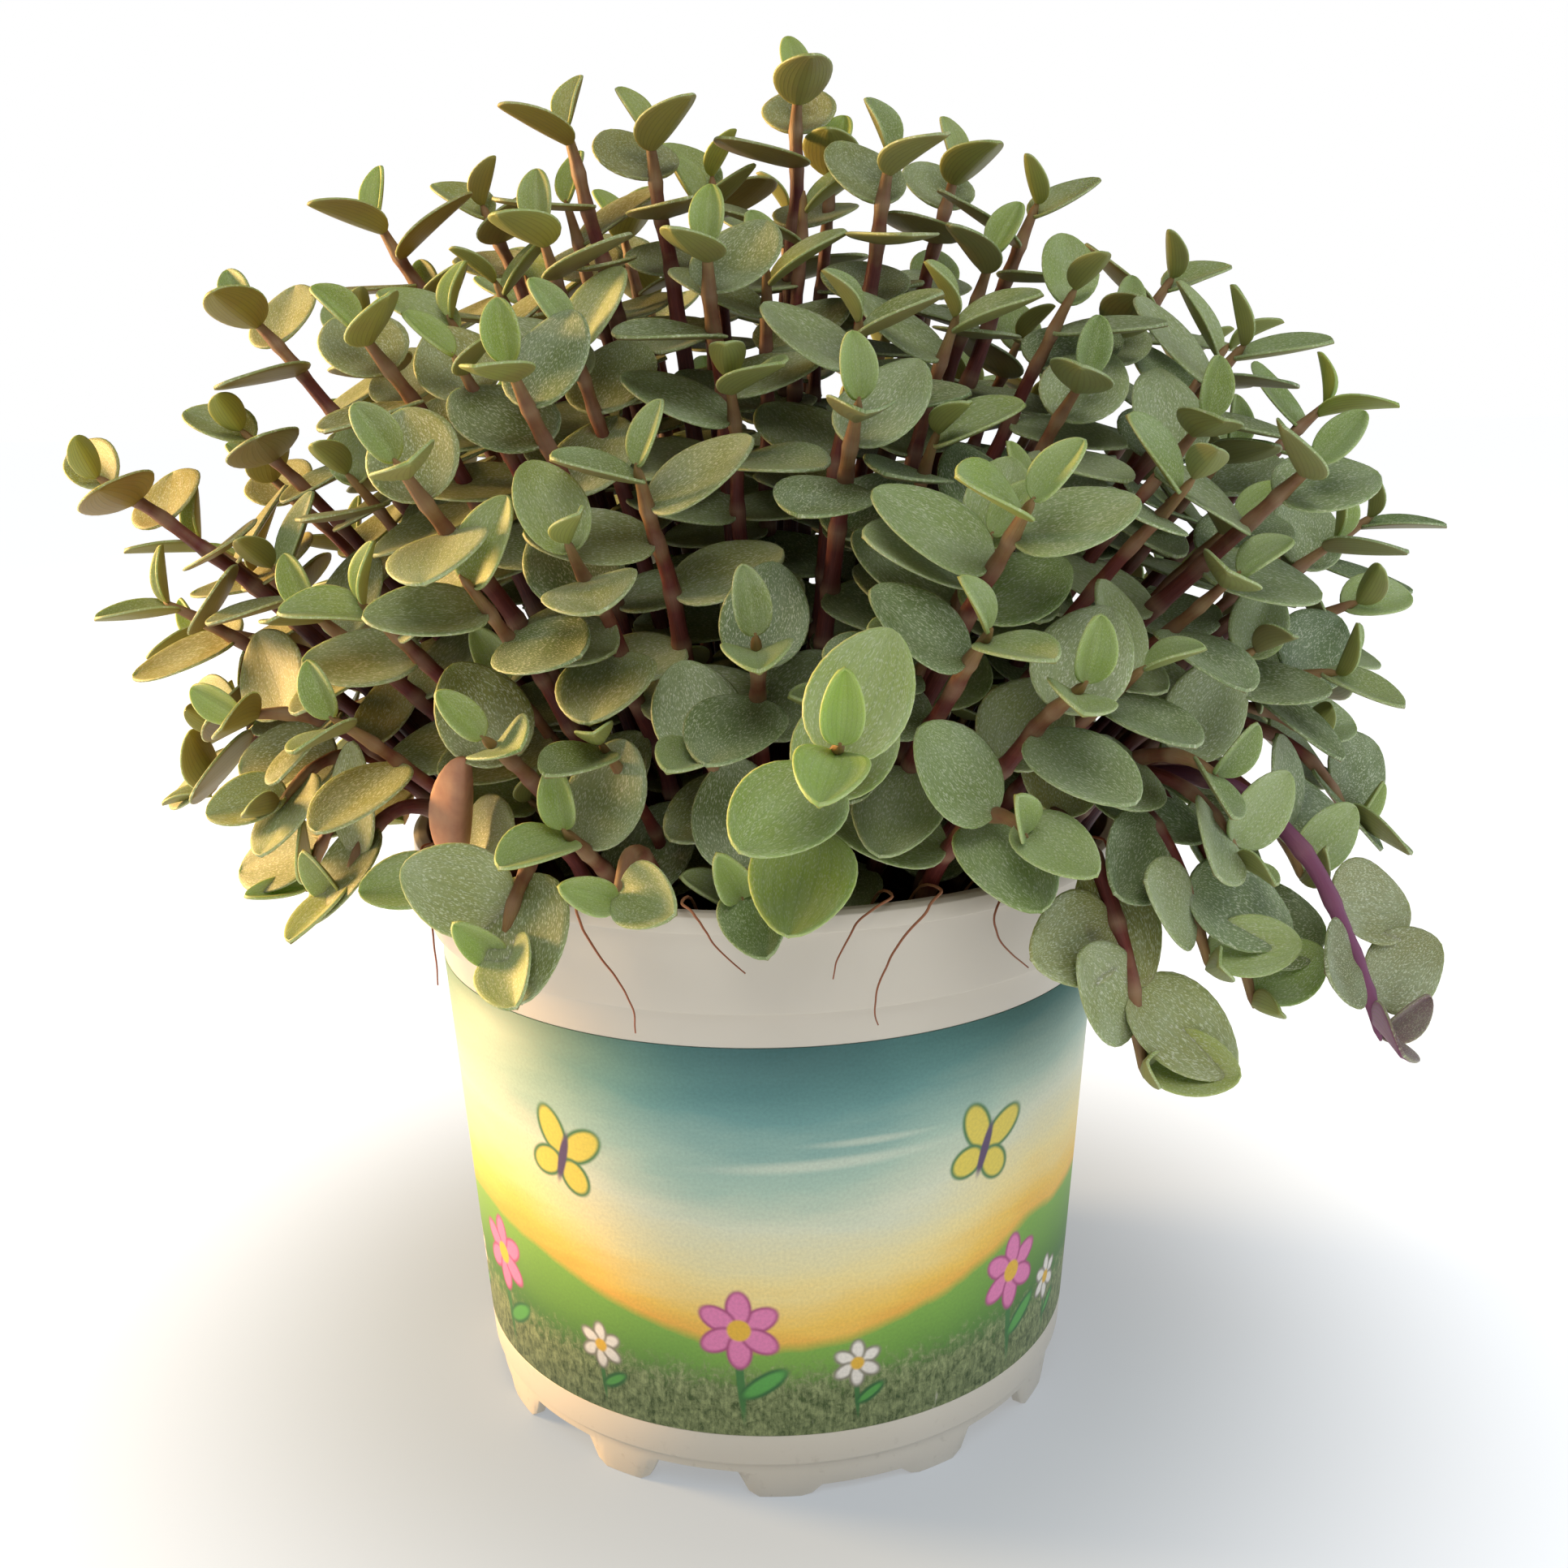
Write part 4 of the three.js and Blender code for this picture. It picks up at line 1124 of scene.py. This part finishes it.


# %% [markdown]
# ## Stems
# The stems are round and juicy, with fine lengthwise grooves. They are maroon,
# greenish pink at the growing tip, and darken down the stem to nearly black low in
# the plant, partly as older stems do and partly as painted shade in the middle of
# the plant. At every leaf the stem swells into a ring, and the leaf's thin dry
# sheath wraps it. A stem's colours come from one attribute: red is how far down
# it is, green is the ring and blue is purple. A second attribute holds the place
# round and along the stem, so the grooves close without a seam.

# %% Stem material
def stem_skin(name, tip_hex, upper_hex, middle_hex, base_hex, purple_hex):
    material, tree = start_material(name)
    state = add_node(tree, "ShaderNodeAttribute", attribute_name="state")
    parts = add_node(tree, "ShaderNodeSeparateColor", {"Color": state})
    round_place = add_node(tree, "ShaderNodeAttribute", attribute_name="round_place").outputs["Vector"]
    groove_place = add_node(tree, "ShaderNodeMapping", {"Vector": round_place, "Scale": (5.5, 5.5, 0.16)})
    grooves = add_node(tree, "ShaderNodeTexNoise", {
        "Vector": groove_place, "Scale": 1.6, "Detail": 4.0, "Roughness": 0.6})
    blotch = add_node(tree, "ShaderNodeTexNoise", {"Vector": round_place, "Scale": 0.22, "Detail": 3.0})
    down = add_node(tree, "ShaderNodeMath", {
        0: blotch, 1: 0.3, 2: parts.outputs["Red"]}, operation="MULTIPLY_ADD")
    tone_place = add_node(tree, "ShaderNodeMath", {0: down, 1: 0.15}, operation="SUBTRACT")
    tone = add_node(tree, "ShaderNodeValToRGB", {"Fac": tone_place})
    set_stops(tone, [(0.0, tip_hex), (0.16, upper_hex), (0.5, middle_hex), (1.0, base_hex)])
    groove_here = add_node(tree, "ShaderNodeMapRange", {
        "Value": grooves, "From Min": 0.45, "From Max": 0.7, "To Max": 0.4})
    ring = add_node(tree, "ShaderNodeMath", {0: parts.outputs["Green"], 1: 0.5}, operation="MULTIPLY")
    colour = layered(tree, tone, (groove_here, "#8a4236"), (ring, "#a58a6c"),
                     (parts.outputs["Blue"], purple_hex))
    bump = add_node(tree, "ShaderNodeBump", {
        "Height": grooves, "Strength": 0.5, "Distance": 0.15 * MM})
    return surfaced(material, tree, {
        "Base Color": colour, "Roughness": 0.5, "IOR": 1.43,
        "Subsurface Weight": 0.15, "Subsurface Radius": (1.0, 0.35, 0.2), "Subsurface Scale": 1.0 * MM,
        "Normal": bump})


# The stem ramp ends nearly black low down, partly the old stem's own colour and partly painted shade in the
# middle of the plant.
stem_material = stem_skin("grooved_maroon_stem", "#947a4c", "#642822", "#3f161b", "#180a0a", "#80486a")
root_material = stem_skin("thin_aerial_root", "#cda37c", "#b98662", "#9a6546", "#6a4330", "#8c5a78")
print("materials:", stem_material.name, root_material.name)

# %% [markdown]
# A stem is a circle that is extruded ring by ring and laid along its curve. The
# rings turn with the curve but never spin round it, so the grooves run straight.
# The stem steps a little to and fro at its rings, as a stem that branches does.

# %% Stem pieces
STEM_SIDES = 10
RING_SPACING = 1.5


def ring_frames(points):
    """Two directions square to a path at each point, carried on without spin."""
    ahead = np.gradient(points, axis=0)
    ahead /= np.linalg.norm(ahead, axis=1)[:, None]
    side = np.cross(ahead[0], (0.0, 1.0, 0.3))
    sides = []
    for forward in ahead:
        side = side - forward * (side @ forward)
        side = side / np.linalg.norm(side)
        sides.append(side)
    sides = np.array(sides)
    return sides, np.cross(ahead, sides)


def tube(name, points, radii, states, sides):
    """A closed round tube through points, made of extruded rings, all in millimetres."""
    first, second = ring_frames(points)
    bm = bmesh.new()
    state = bm.verts.layers.float_color.new("state")
    place = bm.verts.layers.float_vector.new("round_place")
    around = [2 * math.pi * i / sides for i in range(sides)]
    gone = np.concatenate([[0], np.cumsum(np.linalg.norm(np.diff(points, axis=0), axis=1))])
    ring = bmesh.ops.create_circle(bm, cap_ends=False, segments=sides, radius=1)["verts"]
    for i, point in enumerate(points):
        if i:
            edges = list({e for v in ring for e in v.link_edges
                          if e.other_vert(v) in ring and len(e.link_faces) < 2})
            pairs = bmesh.ops.extrude_edge_only(bm, edges=edges)["geom"]
            fresh = [g for g in pairs if isinstance(g, bmesh.types.BMVert)]
            above = {min(ring, key=lambda old: (old.co - v.co).length): v for v in fresh}
            ring = [above[old] for old in ring]
        for vert, angle in zip(ring, around):
            out = first[i] * math.cos(angle) + second[i] * math.sin(angle)
            vert.co = (point + out * radii[i]) * MM
            vert[state] = states[i]
            vert[place] = (math.cos(angle), math.sin(angle), gone[i])
    ends = [e for e in bm.edges if e.is_boundary]
    bmesh.ops.holes_fill(bm, edges=ends, sides=sides)
    bmesh.ops.recalc_face_normals(bm, faces=bm.faces)
    return mesh_from(bm, name)


def stem_path(shoot):
    """A stem's points, radii and painted states from its root to its tip."""
    steps = np.linspace(0, 1, 400)
    dense = along(shoot["curve"], steps)
    gone = np.concatenate([[0], np.cumsum(np.linalg.norm(np.diff(dense, axis=0), axis=1))])
    total = gone[-1]
    count = max(int(total / RING_SPACING), 8)
    places = np.linspace(0, total, count)
    points = np.stack([np.interp(places, gone, dense[:, axis]) for axis in range(3)], axis=1)
    back = total - places
    nodes = np.array([step[0] for step in STEPS + LOWER_STEPS] + [88, 102, 116, 130, 145])
    nearest = np.array([np.min(np.abs(nodes - b)) for b in back])
    rings = np.exp(-(nearest / 1.1) ** 2) * (back > 6)
    radii = np.interp(back, [0, 6, 30, 90, 150], [0.6, 1.0, 1.3, 1.45, 1.5])
    radii = radii * (1 + 0.22 * rings)
    radii[-1] = 0.2
    leaf_count = len(shoot["leaves"])
    wander = np.array([noise.noise_vector(Vector((p / 14, shoot["turn"], leaf_count))) for p in places])
    fade = np.clip(places / 12, 0, 1) * np.clip(back / 12, 0, 1)
    points = points + wander * 0.8 * fade[:, None]
    purple = shoot.get("purple", 0) * np.clip(1.25 - back / 60, 0, 1)
    states = [(min(b / 110, 1), r, p, 1) for b, r, p in zip(back, rings, purple)]
    return points, radii, states


def leaf_states(shoot, rng):
    """The painted states of a shoot's leaves, youngest first. Leaves to the left and at the top are more
    olive, as painted warm light from the left.
    """
    states = []
    for leaf in shoot["leaves"]:
        youth = max(0, 0.8 - leaf["back"] / 8) * rng.uniform(0.25, 1)
        youth += shoot.get("fresh", 0) * rng.uniform(0.5, 1)
        x, _, z = leaf["centre"]
        # More olive to the left and at the top is painted warm light from the left.
        painted_warm_light = max(0, -x / 130) + max(0, (z - 165) / 70)
        olive = (shoot.get("olive", 0.0) + painted_warm_light) * rng.uniform(0.3, 1) + 0.35 * max(0, rng.random() - 0.5)
        violet = shoot.get("purple", 0) * (0.9 if leaf["back"] < 4 else 0.12)
        states.append((min(youth, 1), rng.random(), min(olive, 1), violet))
    return states


LOOKS = {
    "shoot_rim_5": {"olive": 0.75}, "shoot_rim_6": {"purple": 1.0, "olive": 0.5},
    "shoot_rim_1": {"fresh": 0.25}, "shoot_front_9": {"fresh": 0.75},
    "shoot_right_5": {"fresh": 0.45}, "shoot_front_5": {"fresh": 0.3},
    "shoot_left_4": {"olive": 0.5}, "shoot_left_5": {"olive": 0.4}, "shoot_crown_3": {"olive": 0.35},
    "shoot_left_8": {"olive": 0.4}, "shoot_rim_7": {"olive": 0.3}}
for shoot in shoots:
    shoot.update(LOOKS.get(shoot["name"], {}))

build_rng = random.Random(3)
faces_made = 0
for number, shoot in enumerate(shoots):
    points, radii, states = stem_path(shoot)
    stem_name = shoot["name"].replace("shoot", "stem")
    stem = make_piece(stem_name, tube(stem_name, points, radii, states, STEM_SIDES),
                      [stem_material], "leaf", shoot["name"])
    leaves_name = shoot["name"].replace("shoot", "leaves")
    leaves = leaf_piece(leaves_name, shoot["leaves"], leaf_states(shoot, build_rng), 100 + number,
                        [upper, under], "leaf", shoot["name"])
    faces_made += len(stem.data.polygons) + len(leaves.data.polygons)
print("shoots built:", len(shoots), "faces before modifiers:", faces_made)

# %% Side and young shoot pieces
def shoot_group(name, members, thin, seed):
    """Several small shoots as one piece of stems and one of leaves."""
    bm = bmesh.new()
    for shoot in members:
        points, radii, states = stem_path(shoot)
        mesh = tube("stem", points, radii * thin, states, 8)
        bm.from_mesh(mesh)
        bpy.data.meshes.remove(mesh)
    make_piece(f"{name}_stems", mesh_from(bm, f"{name}_stems"), [stem_material], "leaf")
    leaves = [leaf for shoot in members for leaf in shoot["leaves"]]
    states = [state for shoot in members for state in leaf_states(shoot, build_rng)]
    leaf_piece(f"{name}_leaves", leaves, states, seed, [upper, under], "leaf")


SIDE_GROUPS = 6
YOUNG_GROUPS = 4
for group in range(SIDE_GROUPS):
    shoot_group(f"side_{group + 1}", side_shoots[group::SIDE_GROUPS], 0.9, 300 + group)
for group in range(YOUNG_GROUPS):
    shoot_group(f"young_{group + 1}", young[group::YOUNG_GROUPS], 0.8, 400 + group)
print("shoot groups:", SIDE_GROUPS + YOUNG_GROUPS)

# %% [markdown]
# ## Aerial roots and a dry leaf
# Where stems touch the rim they send out thin wiry roots, which feel their way
# down the outside of the pot. One old leaf has dried to pink-brown paper and
# hangs by the rim. Each root is a short random walk that keeps going down and
# outwards, drawn as a tube 0.35 mm thick.

# %% Root and dry leaf pieces
ROOT_STARTS = [(-30, 74), (-25, 100), (-12, 62), (17, 66), (24, 96), (36, 80), (-64, 104), (60, 52),
               (130, 70), (205, 90)]
root_rng = random.Random(21)
root_bm = bmesh.new()
for degrees, length in ROOT_STARTS:
    heading = math.radians(degrees)
    out = np.array([math.sin(heading), -math.cos(heading), 0.0])
    sideways = np.array([math.cos(heading), math.sin(heading), 0.0])
    points = [out * (MOUTH - 9) + (0, 0, POT_TOP - 5), out * (MOUTH - 4) + (0, 0, POT_TOP + 1.2),
              out * (RIM + 0.2) + (0, 0, POT_TOP + 1.6)]
    drift = root_rng.choice((-1.5, -0.9, 0.9, 1.5))
    for i in range(int(length * 0.19)):
        drift = drift * 0.93 + root_rng.uniform(-0.5, 0.5)
        fall = min(0.3 + i * 0.1, 1.2)
        step = out * max(0.75 - 0.12 * i, 0) + sideways * drift + (0, 0, -fall)
        points.append(points[-1] + step)
    rough = np.array(points)
    share = np.linspace(0, len(rough) - 1, 3 * len(rough))
    smooth = np.stack([np.interp(share, np.arange(len(rough)), rough[:, k]) for k in range(3)], axis=1)
    for _ in range(3):
        smooth[1:-1] = (smooth[:-2] + 2 * smooth[1:-1] + smooth[2:]) / 4
    thick = np.linspace(0.24, 0.11, len(smooth))
    states = [(min(0.1 + k / len(smooth), 0.6), 0, 0, 1) for k in range(len(smooth))]
    mesh = tube("root", smooth, thick, states, 6)
    root_bm.from_mesh(mesh)
    bpy.data.meshes.remove(mesh)
roots = make_piece("aerial_roots", mesh_from(root_bm, "aerial_roots"), [root_material], "leaf")


def dry_leaf_material():
    material, tree = start_material("dry_papery_leaf")
    place = add_node(tree, "ShaderNodeTexCoord").outputs["Object"]
    blotch = add_node(tree, "ShaderNodeTexNoise", {"Vector": place, "Scale": 1 / (3 * MM), "Detail": 5.0})
    return surfaced(material, tree, {
        "Base Color": layered(tree, "#cfa27a", (blotch, "#8f5543")), "Roughness": 0.7,
        "Subsurface Weight": 0.2, "Subsurface Radius": (1.0, 0.5, 0.3), "Subsurface Scale": 1.0 * MM})


dry = dry_leaf_material()
dry_axis = np.array([0.12, -0.1, 0.98])
dry_axis /= np.linalg.norm(dry_axis)
dry_face = np.cross(dry_axis, (0.9, 0.44, 0.0))
dry_face /= np.linalg.norm(dry_face)
dry_leaf = {"centre": np.array([-43.0, -52.0, 112.0]), "axis": dry_axis, "face": dry_face,
            "across": np.cross(dry_axis, dry_face), "half": 7.6, "wide": 3.0, "fold": 1.3, "back": 90}
leaf_piece("dry_leaf", [dry_leaf], [(0, 0.5, 0, 0)], 77, [dry, dry], "leaf")
print("roots:", len(ROOT_STARTS), "faces:", len(roots.data.polygons))

# %% [markdown]
# ## Floor and light
# The pot stands on a plain pale floor in soft studio light. The floor glows more
# with distance, so it fades into the white behind it with no horizon, and it glows
# less close to the pot, which paints a soft pool of shadow round the foot. A large
# warm light comes low from the left and a little behind, and gilds the leaves on
# that side. A wide neutral light fills the front from above, and a weak cool one
# lifts the right side. The camera sees a white world, but a much dimmer one lights
# the plant, so the gaps between its stems stay dark.

# %% Studio
def floor_material():
    material, tree = start_material("matt_white_floor")
    place = add_node(tree, "ShaderNodeTexCoord").outputs["Object"]
    far = add_node(tree, "ShaderNodeVectorMath", {0: place}, operation="LENGTH")
    # The floor glows less near the pot, which paints a soft pool of shadow round its foot.
    glow_with_painted_shadow = add_node(tree, "ShaderNodeMapRange", {
        "Value": far, "From Min": 0.05, "From Max": 0.16,
        "To Min": 0.34, "To Max": 0.95}, interpolation_type="SMOOTHSTEP")
    return surfaced(material, tree, {
        "Base Color": linear("#76838f"), "Roughness": 0.85,
        "Emission Color": linear("#ffffff"), "Emission Strength": glow_with_painted_shadow})


floor_bm = bmesh.new()
bmesh.ops.create_grid(floor_bm, x_segments=1, y_segments=1, size=6)
floor = bpy.data.objects.new("floor", mesh_from(floor_bm, "floor"))
floor.data.materials.append(floor_material())
scene.collection.objects.link(floor)


def area_light(name, place, aim, size, power, colour):
    data = bpy.data.lights.new(name, "AREA")
    data.shape = "DISK"
    data.size = size
    data.energy = power
    data.color = linear(colour)[:3]
    light = bpy.data.objects.new(name, data)
    light.location = place
    light.rotation_euler = (Vector(aim) - Vector(place)).to_track_quat("-Z", "Y").to_euler()
    scene.collection.objects.link(light)


area_light("warm_key", (-1.0, 0.26, 0.34), (0, 0, 0.16), 0.34, 28, "#ffcd8c")
area_light("front_fill", (0.0, -0.9, 1.25), (0, 0, 0.12), 0.9, 8.5, "#fbfaf6")
area_light("cool_side", (1.1, -0.2, 0.5), (0, 0, 0.12), 0.8, 3.6, "#dfe9f5")
SEEN_WORLD = 1.0
LIGHTING_WORLD = 0.17
world = bpy.data.worlds.new("pale_studio")
world.use_nodes = True
scene.world = world
world.node_tree.nodes.clear()
seen = add_node(world.node_tree, "ShaderNodeBackground", {
    "Color": linear("#ffffff"), "Strength": SEEN_WORLD})
lighting = add_node(world.node_tree, "ShaderNodeBackground", {
    "Color": linear("#f3f7fb"), "Strength": LIGHTING_WORLD})
is_seen = add_node(world.node_tree, "ShaderNodeLightPath").outputs["Is Camera Ray"]
both = add_node(world.node_tree, "ShaderNodeMixShader", {
    0: is_seen, 1: lighting, 2: seen})
add_node(world.node_tree, "ShaderNodeOutputWorld", {"Surface": both})
scene.view_settings.view_transform = "Standard"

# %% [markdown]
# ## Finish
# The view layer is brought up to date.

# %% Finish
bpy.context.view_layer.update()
